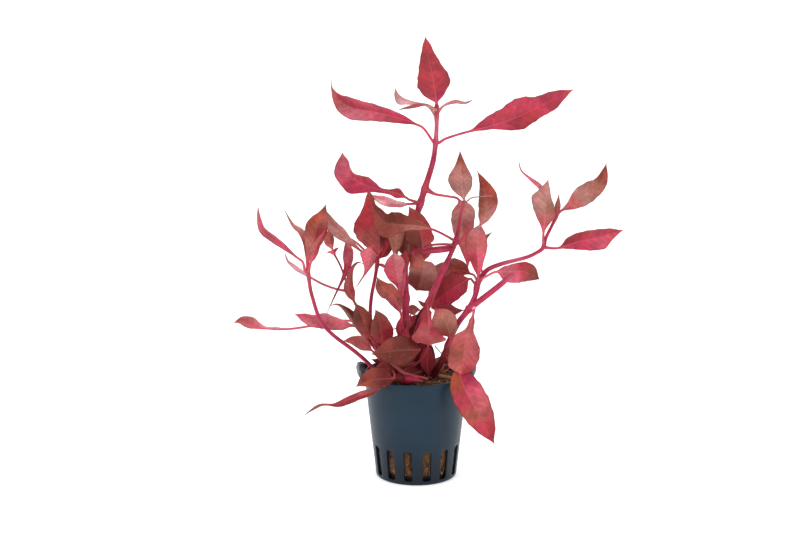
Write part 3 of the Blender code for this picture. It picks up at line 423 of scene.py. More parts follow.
LEFT_LEAVES = [
    Leaf("left_round_leaf", "left_inner_stem", [(-17.7, 104.6, 2)],
        [(-17.6, 105.6, 2), (-17.2, 113, 4), (-18.4, 122, 7), (-20.8, 130, 10), (-22.2, 137, 13)],
        (6.3, 9.6, 11, 11, 8.9, 4.4, 2.1), (3, 5, 5.6, 5.6, 4.4, 2, 1.8), -1, 1, "dark",
        "salmon salmon rose rose copper", "salmon maroon ruby brown copper", "salmon"),
    Leaf("left_hanging_leaf", "left_inner_stem", [(-18.2, 101.6, -1)],
        [(-20.4, 109.4, -3), (-21.6, 104.6, -5), (-23.4, 98, -5.4), (-28.2, 90.2, -5)],
        (3, 2.6, 1.2, 0.35, 0.25), (4.6, 3.2, 1.3, 0.35, 0.25), 1, 1, "rose",
        "blush salmon brown", "blush pink brown", "pink", "crimson", 0.15),
    Leaf("left_diagonal_leaf", "left_inner_stem", [(-18.6, 102.6, 4), (-21.5, 105, 5.5)],
        [(-24.5, 107, 6.5), (-30, 111.6, 9), (-35, 116, 12), (-39.5, 120.5, 15), (-42.5, 128, 18)],
        (0.6, 1.7, 2.7, 2.8, 2), (0.7, 1.8, 2.9, 2.9, 2), -4, 4, "mauve",
        "pink mauve mauve fawn", "salmon mauve fawn olive", "crimson"),
    Leaf("left_twisted_leaf", "left_inner_stem", [(-17.6, 101.6, 5), (-22, 106, 14), (-27.5, 111.6, 20)],
        [(-31.9, 113.6, 20), (-31.6, 107, 10), (-32.2, 100.5, -2.4), (-34.2, 94.5, -4), (-37.6, 87, -5),
         (-41.7, 77.8, -6)],
        (2.2, 2.5, 1.8, 0.6, 0.25), (1.9, 2.3, 1.3, 0.5, 0.25), 2, -2, "crimson",
        "blush pink cerise cerise maroon umber", "pink magenta crimson ruby maroon umber", "rose",
        "salmon", 0.2),
    Leaf("left_small_leaf", "left_back_stem", [(-38.6, 107.8, 4)],
        [(-38.8, 108.6, 3.8), (-39.6, 111, 1.4), (-40.3, 114, -1), (-40.6, 118, -3)],
        (1.2, 2.2, 2.6, 2.2, 1.2), (0.9, 1.6, 2.2, 2.2, 1.2), 1, 1, "brown",
        "blush salmon copper", "salmon copper copper", "salmon", "pink", 0.2),
    Leaf("outer_left_big_leaf", "left_outer_stem", [(-50.4, 100.4, -12)],
        [(-50, 103.4, -11.6), (-48.6, 109, -13), (-46.8, 116, -15), (-44.5, 123, -17), (-41.6, 130, -19)],
        (2, 4, 5.1, 4.6, 1.7), (2.1, 4.2, 5, 4.5, 2.7), 2, 1, "brown",
        "salmon fawn copper orange brown", "salmon salmon ruby copper brown", "salmon"),
    Leaf("outer_left_front_leaf", "left_outer_stem", [(-49.6, 98, -15)],
        [(-49, 102, -16.5), (-47.6, 107, -18), (-45.6, 111.5, -20), (-42.2, 117.5, -22)],
        (1.2, 1.8, 2, 1.5, 0.8), (1.6, 2, 1.8, 1.3, 0.7), -1, 1, "brown",
        "pink salmon copper", "salmon rose ruby", "salmon", "crimson", 0.2),
    Leaf("outer_left_tail_leaf", "left_outer_stem", [(-50.6, 97.4, -9)],
        [(-50.6, 103, -6.4), (-51, 111, -3), (-53.2, 116.6, 0), (-57.2, 120.7, 4), (-60.9, 127.6, 8)],
        (0.9, 1.2, 1.2, 0.9, 0.3), (1.2, 1.7, 1.6, 0.8, 0.3), -2, 2, "brown",
        "salmon copper fawn olive", "salmon copper mauve olive", "crimson", "salmon", 0.15),
    Leaf("outer_left_long_leaf", "left_outer_stem", [(-51.4, 97.8, -12), (-52.6, 102.6, -12.5)],
        [(-55.5, 105, -13), (-60, 108.8, -15), (-66, 113.2, -17), (-71, 117.5, -19.5), (-72.6, 123, -21),
         (-72.9, 129, -22)],
        (0.8, 1.2, 1.4, 1.3, 0.7), (0.9, 1.7, 1.9, 1.6, 1), -4.5, 4.5, "crimson",
        "pink magenta crimson pink mauve", "magenta crimson crimson pink fawn", "pink", "pink", 0.25),
    Leaf("outer_left_thin_leaf", "left_back_stem", [(-32.2, 88.6, 6), (-38, 90, 4.6), (-44, 92.4, 2)],
        [(-48.5, 95, 0.5), (-53, 97.9, 3), (-57, 100.8, 6), (-59.6, 103.4, 8), (-60.8, 107, 9)],
        (0.5, 0.9, 1, 0.8, 0.3), (0.5, 0.9, 1, 0.7, 0.3), -4, 4, "mauve",
        "blush shell shell mauve", "pink shell blush mauve", "crimson", "pink", 0.15),
    Leaf("left_hooked_leaf", "left_back_stem", [(-26.6, 79.6, 5.5)],
        [(-28.8, 83.5, 3.4), (-31.2, 90, 3.2), (-30.9, 95, 3.2), (-29.6, 99.8, 3), (-27.2, 102.4, 2.4),
         (-24.7, 101.8, 1.6)],
        (2, 2.4, 1.5, 1, 0.5), (2, 2.2, 1.5, 0.9, 0.5), 1.5, -2, "brown",
        "salmon copper salmon copper brown", "salmon rose copper salmon brown", "salmon", "rose", 0.15),
    Leaf("left_dark_outer_leaf", "left_back_stem", [(-17.6, 60.4, 6)],
        [(-20.5, 62.5, 4.5), (-25.5, 69.5, -0.5), (-29.5, 75.5, -5), (-33.5, 80.4, -9), (-37, 82.4, -11),
         (-40.4, 81.6, -12)],
        (1, 1.4, 1.5, 1.3, 0.6), (2, 3.4, 3.4, 2.2, 0.8), 1, 2, "dark",
        "salmon fawn olive olive", "brown brown umber brown", "salmon"),
    Leaf("left_dark_middle_leaf", "left_inner_stem", [(-17.8, 60.4, 1), (-19.4, 63, -1.4)],
        [(-20.4, 65, -2.4), (-23, 71, -6.5), (-25.5, 77, -10.5), (-28, 83, -14)],
        (2.5, 4, 4.8, 4.4, 2.6), (2.8, 3.6, 4, 3.8, 2.4), 2.4, 2, "dark",
        "rose brown umber brown", "brown brown copper brown", "salmon"),
    Leaf("left_dark_inner_leaf", "left_inner_stem", [(-16.6, 57.4, 1), (-15.4, 60.6, -3)],
        [(-15.5, 62.5, -5), (-16.4, 69, -9), (-17.2, 75, -13), (-19, 80, -16)],
        (3, 4.6, 4.6, 3.8, 2), (4.4, 5.8, 5.4, 4.2, 2.4), 1.5, 1.5, "brown",
        "rose brown brown", "rose rose brown brown", "salmon"),
    Leaf("left_low_leaf", "left_inner_stem", [(-15.2, 54, 4.4), (-18, 57, 8)],
        [(-20.5, 60, 11), (-24.5, 62.5, 15), (-29, 64.6, 19), (-34, 64.8, 23)],
        (1.5, 2.4, 2.4, 1.8, 1), (2, 3.6, 3.6, 2.6, 1.4), -2, 2, "brown",
        "salmon salmon salmon", "rose salmon copper", "rose"),
    Leaf("left_salmon_leaf", "left_back_stem", [(-21.8, 69.6, 11)],
        [(-29, 72, 9), (-36, 73, 6.5), (-43, 74.4, 3), (-50, 75.6, -1), (-56.6, 77.8, -5)],
        (2.5, 3.3, 3.6, 3.6, 2.2), (2.1, 3, 3.7, 2.2, 1.8), -4.5, 4.5, "salmon",
        "blush blush pink blush blush", "blush blush blush pink pink", "rose", "ruby"),
    Leaf("far_left_leaf", "left_back_stem", [(-23.6, 74, 11.5), (-34, 74.6, 16), (-48, 72.2, 18),
        (-56, 70.9, 19)],
        [(-61, 70.5, 19.5), (-66, 70.8, 20.5), (-71.5, 71.2, 21.5), (-76, 72.8, 23), (-81, 74.6, 25),
         (-84.8, 73.6, 26)],
        (0.7, 0.5, 1.2, 2.5, 2.1), (0.7, 0.6, 1.9, 3.2, 2), -4, 4, "salmon",
        "blush blush pink salmon salmon", "blush shell blush salmon rose", "crimson", "pink", 0.2),
]
RIM_LEAVES = [
    Leaf("left_rim_leaf", "left_outer_stem", [(-12.6, 48.6, -8.4), (-11, 50.4, -16)],
        [(-10.6, 46.8, -24), (-16, 46.3, -25.5), (-22, 45.5, -27), (-28.2, 42.6, -28)],
        (3.2, 4, 3.8, 3, 1.4), (4.4, 5.6, 5.6, 4.6, 2.6), -1, 1.5, "dark",
        "claret maroon brown orange copper", "maroon maroon brown brown copper", "salmon", "ruby"),
    Leaf("left_trailing_leaf", "left_outer_stem", [(-15, 49.4, -8.4), (-15.4, 50, -15)],
        [(-16.6, 43, -21.6), (-21, 39.8, -22.5), (-27, 38, -23.2), (-33, 35.6, -24), (-38, 33.8, -25),
         (-45, 33.5, -27), (-52.5, 28.7, -29)],
        (1.2, 1.8, 1.8, 0.5, 0.6), (1.8, 1.7, 1.3, 0.4, 0.7), -2, 2, "crimson",
        "copper rose ruby ruby fawn umber", "copper salmon rose ruby fawn umber", "pink", "rose", 0.2),
    Leaf("front_rim_leaf", "main_stem", [(-6, 50, -1)],
        [(-8.4, 46.6, -12.6), (-4.6, 46.4, -16), (-0.8, 46, -18), (3.2, 44.9, -19)],
        (2, 3, 2.8, 2, 1), (1.8, 2.6, 2.4, 1.6, 0.9), -1, 1.5, "crimson",
        "ruby crimson crimson", "cerise cerise crimson", "pink", "ruby", 0.2),
    Leaf("front_big_leaf", "main_stem", [(-4.4, 60, -1), (-3, 61.6, -8)],
        [(1.6, 60.6, -14), (-6, 60.4, -18), (-13, 59.6, -21), (-21, 58.4, -22)],
        (5, 7, 7, 5.4, 2.8), (4.4, 6.4, 6.8, 5.6, 3), 1, 1, "brown",
        "maroon umber umber brown", "maroon umber brown brown", "salmon", "ruby", 0.45),
]


def leaflet(name, blade, half_widths, tones, finish="crimson", edge_back=0.5):
    """A leaf without a stalk that is too small to be a solid; its two halves are alike."""
    return Leaf(name, "", [], blade, half_widths, half_widths, edge_back, edge_back, finish,
                tones, tones, "salmon", tones.split()[0], 0.15)


YOUNG_LEAVES = [
    leaflet("bud_above_far_right_node", [(64.5, 124.4, -6), (65, 130, -7.5), (65.4, 135.4, -9)],
        (1.1, 1.2, 0.5), "rose fawn mauve", "mauve"),
    leaflet("dark_leaflet_right_of_centre", [(7, 80.8, 5), (12, 80, 6), (17, 79.2, 8), (22.2, 79.6, 10)],
        (1.8, 2.7, 2.9, 1.3), "crimson rose ruby brown", "dark", -2),
    leaflet("crimson_leaflet_low", [(-5.4, 65.6, -1), (-7.2, 69, -3), (-7.6, 73, -5), (-6.2, 77.8, -7)],
        (1.4, 2, 1.6, 0.7), "magenta crimson crimson", "crimson"),
    leaflet("pink_leaflet_low", [(-4, 78.6, 2), (-2, 79.6, 4), (0, 79.9, 6), (2, 79.6, 7)],
        (1.8, 2.5, 2.1, 1), "rose fawn fawn", "pink"),
    leaflet("brown_tip", [(4.8, 80.8, 3), (2.8, 82.6, 2), (0.6, 84.4, 1)],
        (0.7, 0.9, 0.5), "ruby brown brown", "brown"),
    leaflet("leaflet_left_dark", [(-38.3, 106.8, 4), (-37.4, 108.4, 3), (-35.8, 109.5, 2)],
        (0.5, 0.6, 0.3), "rose ruby maroon", "dark"),
    leaflet("leaflet_left_pale", [(-38.4, 106.6, 4), (-40, 107.4, 5), (-41.6, 106.7, 6)],
        (0.4, 0.5, 0.3), "pink blush shell", "mauve"),
    leaflet("leaflet_inner_left", [(-17.4, 101.4, 2), (-15.6, 101, 1), (-13.6, 99.2, 0)],
        (0.6, 0.7, 0.4), "magenta pink pink", "pink"),
    leaflet("crimson_leaf_behind_node", [(-17.4, 104.4, 3), (-14.6, 108, 3), (-13, 111.4, 3),
        (-11, 115.4, 3)],
        (2, 2.6, 2.4, 1.6), "rose ruby maroon", "dark", 1),
    leaflet("pale_leaf_left_of_stem", [(-9.9, 103.6, -1), (-9.7, 108, -2), (-9.4, 113, -3),
        (-9.2, 120.4, -4)],
        (1.1, 2.3, 3.5, 4.6), "rose fawn fawn copper", "mauve", 1),
    leaflet("brown_leaf_before_stem", [(-4.4, 104, -2.4), (-3.8, 109, -3.2), (-3.2, 114, -4),
        (-3, 120, -4.6)],
        (1.4, 2.1, 2.4, 1.8), "rose umber maroon umber", "brown", 0.6),
    leaflet("brown_leaf_behind_stem", [(-3, 103, 5), (-4.4, 109, 7), (-6.4, 115, 9), (-9, 123, 11)],
        (3, 4.4, 5.6, 4), "rose umber umber brown", "brown", 1),
    leaflet("red_leaf_behind_bridge", [(2.6, 102.4, 4), (2.4, 107, 5), (2, 112, 6), (1.4, 117, 7)],
        (3.6, 5.2, 4.8, 2.6), "salmon rose rose brown", "brown", 1),
    leaflet("red_leaf_left_of_stem", [(-6.4, 86, -1.6), (-6.7, 94, -2.4), (-6.4, 101, -3.4),
        (-4.8, 108.4, -4.4)],
        (1.3, 1.7, 2.4, 2.8), "magenta pink rose rose", "pink", 0.6),
    # Painted shade: the dark claret, maroon and umber leaflets of the plant's low middle below are dark
    # sheets set where shade falls between the stems, leaves and wool
    leaflet("crimson_leaf_behind_stem", [(-3.4, 58, 7), (-4, 64, 9), (-3.8, 70, 10), (-2.6, 77.8, 11)],
        (4, 5, 4.2, 2.6), "claret maroon maroon ruby", "dark", 1),
    leaflet("dark_leaf_behind_stem", [(0, 64, 9), (0.6, 69, 10), (1.4, 75, 11), (2.8, 81, 12)],
        (3, 2.8, 2.3, 1.4), "claret claret maroon", "dark", 1),
    leaflet("pink_leaflet_in_centre", [(-3.6, 70.6, 5), (-3, 73, 5), (-1.8, 75.4, 5), (0.2, 77.6, 5)],
        (0.9, 1.5, 1.6, 0.8), "cerise pink rose ruby", "pink", 1),
    leaflet("dark_leaf_low_centre", [(2, 47, -2), (2.6, 53, 0), (3.4, 59, 2), (4, 67, 4)],
        (4.4, 5.6, 5.4, 3.4), "claret claret maroon maroon", "dark", 1),
    leaflet("crimson_leaf_low_centre", [(5.8, 47.6, -5), (5.4, 52, -4), (5.2, 57, -3), (5.6, 63, -2)],
        (2.2, 3.4, 3.4, 2), "maroon ruby rose rose", "dark", -1.5),
    leaflet("dark_leaf_low_right", [(4.4, 48, -4), (7.4, 50.6, -2), (10.4, 53.4, 0), (13, 57.6, 2)],
        (2.4, 3.6, 3.4, 1.8), "maroon brown fawn copper", "dark", 1),
    leaflet("dark_leaf_back_right", [(6, 47, 10), (10, 51, 11), (13, 55, 12), (15, 60, 13)],
        (2.6, 4.2, 4, 2.2), "maroon umber umber brown", "dark", 1),
    leaflet("dark_leaf_back_left", [(-4, 48, 9), (-10, 51, 11), (-15, 53.6, 12), (-21, 56, 12)],
        (3.6, 5.4, 4.6, 2), "claret claret maroon umber", "dark", 1),
    leaflet("dark_leaf_under_front", [(0, 54.4, -8), (-7, 52.6, -12), (-14, 51, -15), (-22.6, 48.8, -17)],
        (3.4, 5.4, 5, 2.6), "maroon maroon brown brown", "dark", 1),
    leaflet("dark_leaf_at_rim", [(2.6, 50, -8), (-2.6, 48.6, -13), (-8, 47, -17), (-13.4, 45.6, -20)],
        (2.8, 4, 3.6, 1.8), "maroon maroon maroon", "dark", 1),
    leaflet("dark_leaf_low_left", [(-13, 58, 6), (-16.5, 62, 7), (-19.5, 66, 8), (-22, 71, 9)],
        (2.6, 3.4, 3, 1.8), "maroon umber brown", "dark", 1),
    leaflet("crimson_leaf_over_stems", [(-5.6, 56, -4), (-5.4, 61, -4.6), (-5, 66, -4.6),
        (-4.4, 71.6, -3.4)],
        (2.2, 3, 2.6, 1.4), "claret maroon ruby cerise", "dark", -1),
    leaflet("cream_leaflet", [(26, 80.2, -5.4), (27.2, 80.8, -6.4), (28, 80.2, -7)],
        (0.4, 0.6, 0.3), "shell shell", "pink", 0.2),
]

# Thin stalks and threads: name, the spots that it passes, its radii at both ends, its tones
STRANDS = [
    ("grey_stalk", [(21.6, 129.6, 3), (22.5, 130.6, 1), (25, 132.8, 0), (28.5, 133.5, 1),
        (35, 134, 4)], (0.4, 0.22), "fawn mauve mauve"),
    ("front_stalk", [(-11.4, 54.4, -14), (-8.6, 51.6, -15), (-6, 49.4, -16), (-3, 48.4, -17),
        (2, 47.2, -18), (5.4, 46.2, -18.6)], (1.05, 0.5), "salmon salmon rose crimson"),
    ("curved_stalk_low_centre", [(-4.4, 50.4, -9), (-1, 53, -9.4), (2.4, 56, -8.6), (5, 60.4, -6.6),
        (5.8, 66, -4)], (0.55, 0.4), "crimson cerise crimson pink"),
    ("pale_line_left_of_stem", [(-8.2, 88, -4), (-7, 85, -2), (-6.6, 80, -1)], (0.25, 0.3), "shell blush"),
    ("low_thread_left", [(-13.6, 71, 4), (-11, 70.4, 4), (-8.6, 71.4, 4)], (0.25, 0.2), "maroon ruby"),
    ("low_thread_right", [(8.6, 62.4, 6), (11, 59.6, 7), (13.4, 56.8, 8)], (0.25, 0.2), "umber fawn"),
    ("dead_stem_front", [(11, 48, -6), (13.4, 47.4, -10), (16.4, 46.8, -14)], (0.9, 0.7), "straw straw"),
    ("dead_stem_back", [(5, 51, 4), (9, 53.6, 6), (14, 53, 8)], (0.7, 0.5), "straw fawn"),
]


# Shapes


def seen(spot):
    """The place, in metres, of what is seen so far right and up, and lies so far back."""
    right, up, back = spot
    on_board = Vector((right, 0, up)) * MM
    return EYE + (on_board - EYE) * (1 + back * MM / -EYE.y)


def curve_point(points, where):
    """A point on the smooth curve through these points; where runs from 0 to 1."""
    last = len(points) - 1
    part = min(int(where * last), last - 1)
    t = where * last - part
    a, b, c, d = (points[max(0, min(last, part + k))] for k in (-1, 0, 1, 2))
    return (
        b * 2 + (c - a) * t + (a * 2 - b * 5 + c * 4 - d) * t**2 + (b * 3 - a - c * 3 + d) * t**3
    ) / 2


def evenly(points, count, first=0, last=None):
    """Points at even distances along the smooth curve, from its point first to its point last."""
    spans = len(points) - 1
    last = spans if last is None else last
    shares = [(first + (last - first) * k / CURVE_STEPS) / spans for k in range(CURVE_STEPS + 1)]
    fine = [curve_point(points, share) for share in shares]
    travelled = [0.0]
    for before, after in zip(fine, fine[1:]):
        travelled.append(travelled[-1] + (after - before).length)
    spots = []
    at = 0
    for k in range(count):
        goal = travelled[-1] * k / (count - 1)
        while at < CURVE_STEPS - 1 and travelled[at + 1] < goal:
            at += 1
        share = (goal - travelled[at]) / max(travelled[at + 1] - travelled[at], 1e-9)
        spots.append(fine[at].lerp(fine[at + 1], min(share, 1)))
    return spots


def length_of(line):
    """The length of a line of points, in millimetres."""
    return sum((after - before).length for before, after in zip(line, line[1:])) / MM


def shares_of(line):
    """For each point of a line its number as a share, from 0 to 1."""
    return [k / (len(line) - 1) for k in range(len(line))]


def clamp(value, low, high):
    """The value, kept between low and high."""
    return max(low, min(high, value))


def ease(value, low, high):
    """0 below low, 1 above high and a smooth rise between."""
    share = clamp((value - low) / (high - low), 0, 1)
    return share * share * (3 - 2 * share)


def bell(distance, reach):
    """1 where the distance is 0, falling off to almost nothing at twice the reach."""
    return math.exp(-((distance / reach) ** 2))


def palette(context):
    """The tones by name, as the scene's settings hold them."""
    settings = context.scene.alternanthera_colours
    return {name: Vector(getattr(settings, name)) for name in TONES}


def sizes_of(context):
    """The sizes by name, as the scene's settings hold them, with lengths in millimetres."""
    settings = context.scene.alternanthera_sizes
    return {key: getattr(settings, key) / (MM if unit == "LENGTH" else 1) for key, *_, unit in SIZES}


def tone_row(colours, words):
    """The colours that a row of tone names stands for."""
    return [colours[word] for word in words.split()]


def blend(row, share):
    """The colour this share of the way along a row of colours, from 0 to 1."""
    place = clamp(share, 0, 1) * (len(row) - 1)
    at = min(int(place), len(row) - 2)
    return row[at].lerp(row[at + 1], ease(place - at, 0, 1))


def add_object(name, data):
    """A new object in the scene."""
    made = bpy.data.objects.new(name, data)
    bpy.context.scene.collection.objects.link(made)
    return made


def mesh_object(name, shape, materials):
    """The bmesh as a smooth object."""
    mesh = bpy.data.meshes.new(name)
    shape.to_mesh(mesh)
    shape.free()
    mesh.shade_smooth()
    for entry in materials:
        mesh.materials.append(entry)
    return add_object(name, mesh)


def finished(name, shape, materials, node):
    """Makes the bmesh a smooth object on the plant's body; node is its solid, if it has one."""
    made = mesh_object(name, shape, materials)
    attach(made, "root")
    if node:
        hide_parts(node)
    return made


def ring_directions(line):
    """For each point of a line, two directions square to it that don't twist along it."""
    frames = []
    across = None
    for k in range(len(line)):
        ahead = (line[min(k + 1, len(line) - 1)] - line[max(k - 1, 0)]).normalized()
        if across is None:
            across = ahead.cross(Vector((0, -1, 0.2))).normalized()
        across = (across - ahead * across.dot(ahead)).normalized()
        frames.append((across, ahead.cross(across)))
    return frames


def tube_shape():
    """An empty bmesh with what the materials of stems and threads read."""
    shape = bmesh.new()
    shape.verts.layers.float_color.new("stem_colour")
    shape.verts.layers.float_vector.new("stem_place")
    return shape


def add_tube(shape, line, radii, sides, tints):
    """Adds a closed tube along a line of points, with a radius and a colour for each of them."""
    start = len(shape.verts)
    colour = shape.verts.layers.float_color["stem_colour"]
    place = shape.verts.layers.float_vector["stem_place"]
    frames = ring_directions(line)
    line, tints, frames = ([row[0], *row, row[-1]] for row in (line, tints, frames))
    radii = [0, *radii, 0]
    grid = bmesh.ops.create_grid(shape, x_segments=sides, y_segments=len(line) - 1, size=1)["verts"]
    travelled = 0.0
    for row, (spot, radius, tint, (across, out)) in enumerate(zip(line, radii, tints, frames)):
        if row:
            travelled += (spot - line[row - 1]).length / MM
        for column in range(sides + 1):
            turn = 2 * math.pi * (column % sides) / sides
            corner = grid[row * (sides + 1) + column]
            corner.co = spot + (across * math.cos(turn) + out * math.sin(turn)) * radius
            corner[place] = (math.cos(turn), travelled, math.sin(turn))
            corner[colour] = (*tint, 1)
    shape.verts.ensure_lookup_table()
    bmesh.ops.remove_doubles(shape, verts=shape.verts[start:], dist=WELD)


def add_thread(shape, line, foot, end, sides, row):
    """Adds a thin tube that goes from one radius, in millimetres, to another."""
    shares = shares_of(line)
    radii = [(foot + (end - foot) * share) * MM for share in shares]
    add_tube(shape, line, radii, sides, [blend(row, share) for share in shares])


# Stems


def centre_line(stem):
    """The points along a stem's middle, in metres, from inside the wool to its end."""
    points = [seen(spot) for spot in stem.path]
    if stem.root:
        root = Vector((*stem.root, PLUG_TOP)) * MM
        points = [root - UP * STEM_SUNK * MM, root] + points
    return evenly(points, max(6, round(length_of(points) / STEM_STEP)))


def nearest(line, wanted):
    """The number of the line's point that is nearest to the place."""
    return min(range(len(line)), key=lambda k: (line[k] - wanted).length)


def radius_along(stem, share):
    """A stem's radius this share of the way along it, in metres."""
    return curve_point(stem.radii, share) * MM


def branches_of(stem):
    """The side branches that fork from a stem."""
    return [branch for branch in BRANCHES if branch.parent == stem.name]


def node_rings(stem, line):
    """The numbers of a stem's rings where leaves and branches leave it, above the wool."""
    leaves = CROWN_LEAVES + SHOOT_LEAVES + CENTRE_LEAVES + RIGHT_LEAVES + LEFT_LEAVES + RIM_LEAVES
    spots = [leaf.stalk[0] for leaf in leaves if leaf.stem == stem.name]
    spots += [branch.path[0] for branch in branches_of(stem)]
    rings = [nearest(line, seen(spot)) for spot in spots]
    return [ring for ring in rings if ring > WOOL_RINGS]


def add_stem(shape, stem, sizes, colours):
    """Adds a stem's tube, swollen where leaves and branches leave it."""
    line = centre_line(stem)
    rings = node_rings(stem, line)
    row = tone_row(colours, stem.tones)
    radii, tints = [], []
    for k, share in enumerate(shares_of(line)):
        swelling = max([bell((k - ring) * STEM_STEP, NODE_REACH) for ring in rings] or [0])
        radius = radius_along(stem, share) * (1 + sizes["node_swelling"] * swelling)
        if not stem.root:
            radius *= 1 + FORK_SWELLING * math.exp(-k * STEM_STEP / FORK_REACH)
        if share == 1:
            radius *= STEM_END
        radii.append(radius)
        tints.append(blend(row, share).lerp(colours["pink"], NODE_PINK * swelling))
    add_tube(shape, line, radii, STEM_SIDES, tints)


def make_stems(context):
    """The stems, each with the side branches that fork from it."""
    sizes = sizes_of(context)
    colours = palette(context)
    for stem in STEMS:
        shape = tube_shape()
        for part in [stem] + branches_of(stem):
            add_stem(shape, part, sizes, colours)
        finished(stem.name + "_shoot", shape, [stem_material(colours)], stem.name)


# Leaves


def half_width(widths, along):
    """How far an edge is seen from the midrib; along runs from 0 at the stalk to 1 at the tip."""
    return max(0, curve_point([0, *widths, 0], along))


def stalk_points(leaf):
    """The spots of a leaf's stalk, in metres, from inside its stem to the blade's foot."""
    stem = next(stem for stem in STEMS + BRANCHES if stem.name == leaf.stem)
    line = centre_line(stem)
    wanted = seen(leaf.stalk[0])
    near = nearest(line, wanted)
    last = len(line) - 1
    axis = (line[min(near + 1, last)] - line[max(near - 1, 0)]).normalized()
    if near == last:
        start = [line[near] - axis * 0.8 * MM, line[near] + axis * 0.5 * MM]
    else:
        radius = radius_along(stem, near / last)
        out = wanted - line[near]
        out = (out - axis * out.dot(axis)).normalized()
        start = [line[near] + out * radius * 0.2, line[near] + out * (radius + 0.5 * MM)]
    return start + [seen(spot) for spot in leaf.stalk[1:]]


class Sheet:
    """The places of a leaf's rows: its midrib, the direction across it and away from the eye."""

    def __init__(self, stalk, blade):
        points = stalk + blade
        split = len(stalk)
        self.stalk_rows = 0
        self.middle = []
        if stalk:
            self.stalk_length = length_of(evenly(points, 40, 0, split))
            self.stalk_rows = clamp(round(self.stalk_length / STALK_STEP), 4, 40)
            self.middle = evenly(points, self.stalk_rows + 1, 0, split)[:-1]
        self.length = length_of(evenly(points, 60, split))
        self.blade_rows = clamp(round(self.length / ROW_STEP), 10, 64)
        self.middle += evenly(points, self.blade_rows, split)
        last = len(self.middle) - 1
        self.away = [(spot - EYE).normalized() for spot in self.middle]
        self.side = []
        for k, away in enumerate(self.away):
            ahead = self.middle[min(k + 1, last)] - self.middle[max(k - 1, 0)]
            self.side.append(away.cross(ahead).normalized())
        for _ in range(3):
            self.side = [
                (self.side[max(k - 1, 0)] + self.side[k] * 2 + self.side[min(k + 1, last)]).normalized()
                for k in range(last + 1)
            ]

    def along(self, row):
        """0 at the blade's foot and 1 at its tip; below 0 on the stalk."""
        return (row - self.stalk_rows) / (self.blade_rows - 1)

    def least_width(self, row, sheath):
        """The half width that a row has at least: widest where the stalk clasps the stem."""
        along = self.along(row)
        least = STALK_HALF_WIDTH + (TIP_HALF_WIDTH - STALK_HALF_WIDTH) * clamp(along, 0, 1)
        if along < 0:
            from_stem = row * self.stalk_length / self.stalk_rows
            least += (sheath - STALK_HALF_WIDTH) * math.exp(-from_stem / SHEATH_REACH)
        return least


class Half(NamedTuple):
    """One half of a blade: its widths, how far back its edge lies, its colours and its waves."""

    widths: tuple
    behind: float
    tones: list
    wave: float
    shift: float

    def waving(self, travelled, share=1, shifts=1):
        """A wave along the blade, from -1 to 1; share makes it shorter."""
        return math.sin(WAVE_TURN * travelled / (self.wave * share) + shifts * self.shift)


def halves_of(leaf, colours, chance):
    """The left and the right half of a leaf, each with a wave of its own."""
    waves = [(chance.uniform(8, 13), chance.uniform(0, WAVE_TURN)) for _ in range(2)]
    left = Half(leaf.left, leaf.left_back, tone_row(colours, leaf.left_tones), *waves[1])
    right = Half(leaf.right, leaf.right_back, tone_row(colours, leaf.right_tones), *waves[0])
    return left, right


def thickness_here(blade_thickness, part, share, full, distance, width):
    """A leaf's thickness as a share of its greatest: round on the stalk, thin at the rim."""
    roundness = math.sqrt(1 - part**2)
    blade = (blade_thickness - RIM_THICKNESS) * (1 - part**6)
    stalk = STALK_ROUND * roundness * min(width / STALK_HALF_WIDTH, 1)
    rib = bell(distance, RIB_WIDTH) * (0.75 - 0.6 * share) * roundness
    thick = (1 - full**0.5) * stalk + full**0.5 * blade
    return clamp(max(thick, rib), 0, 1)


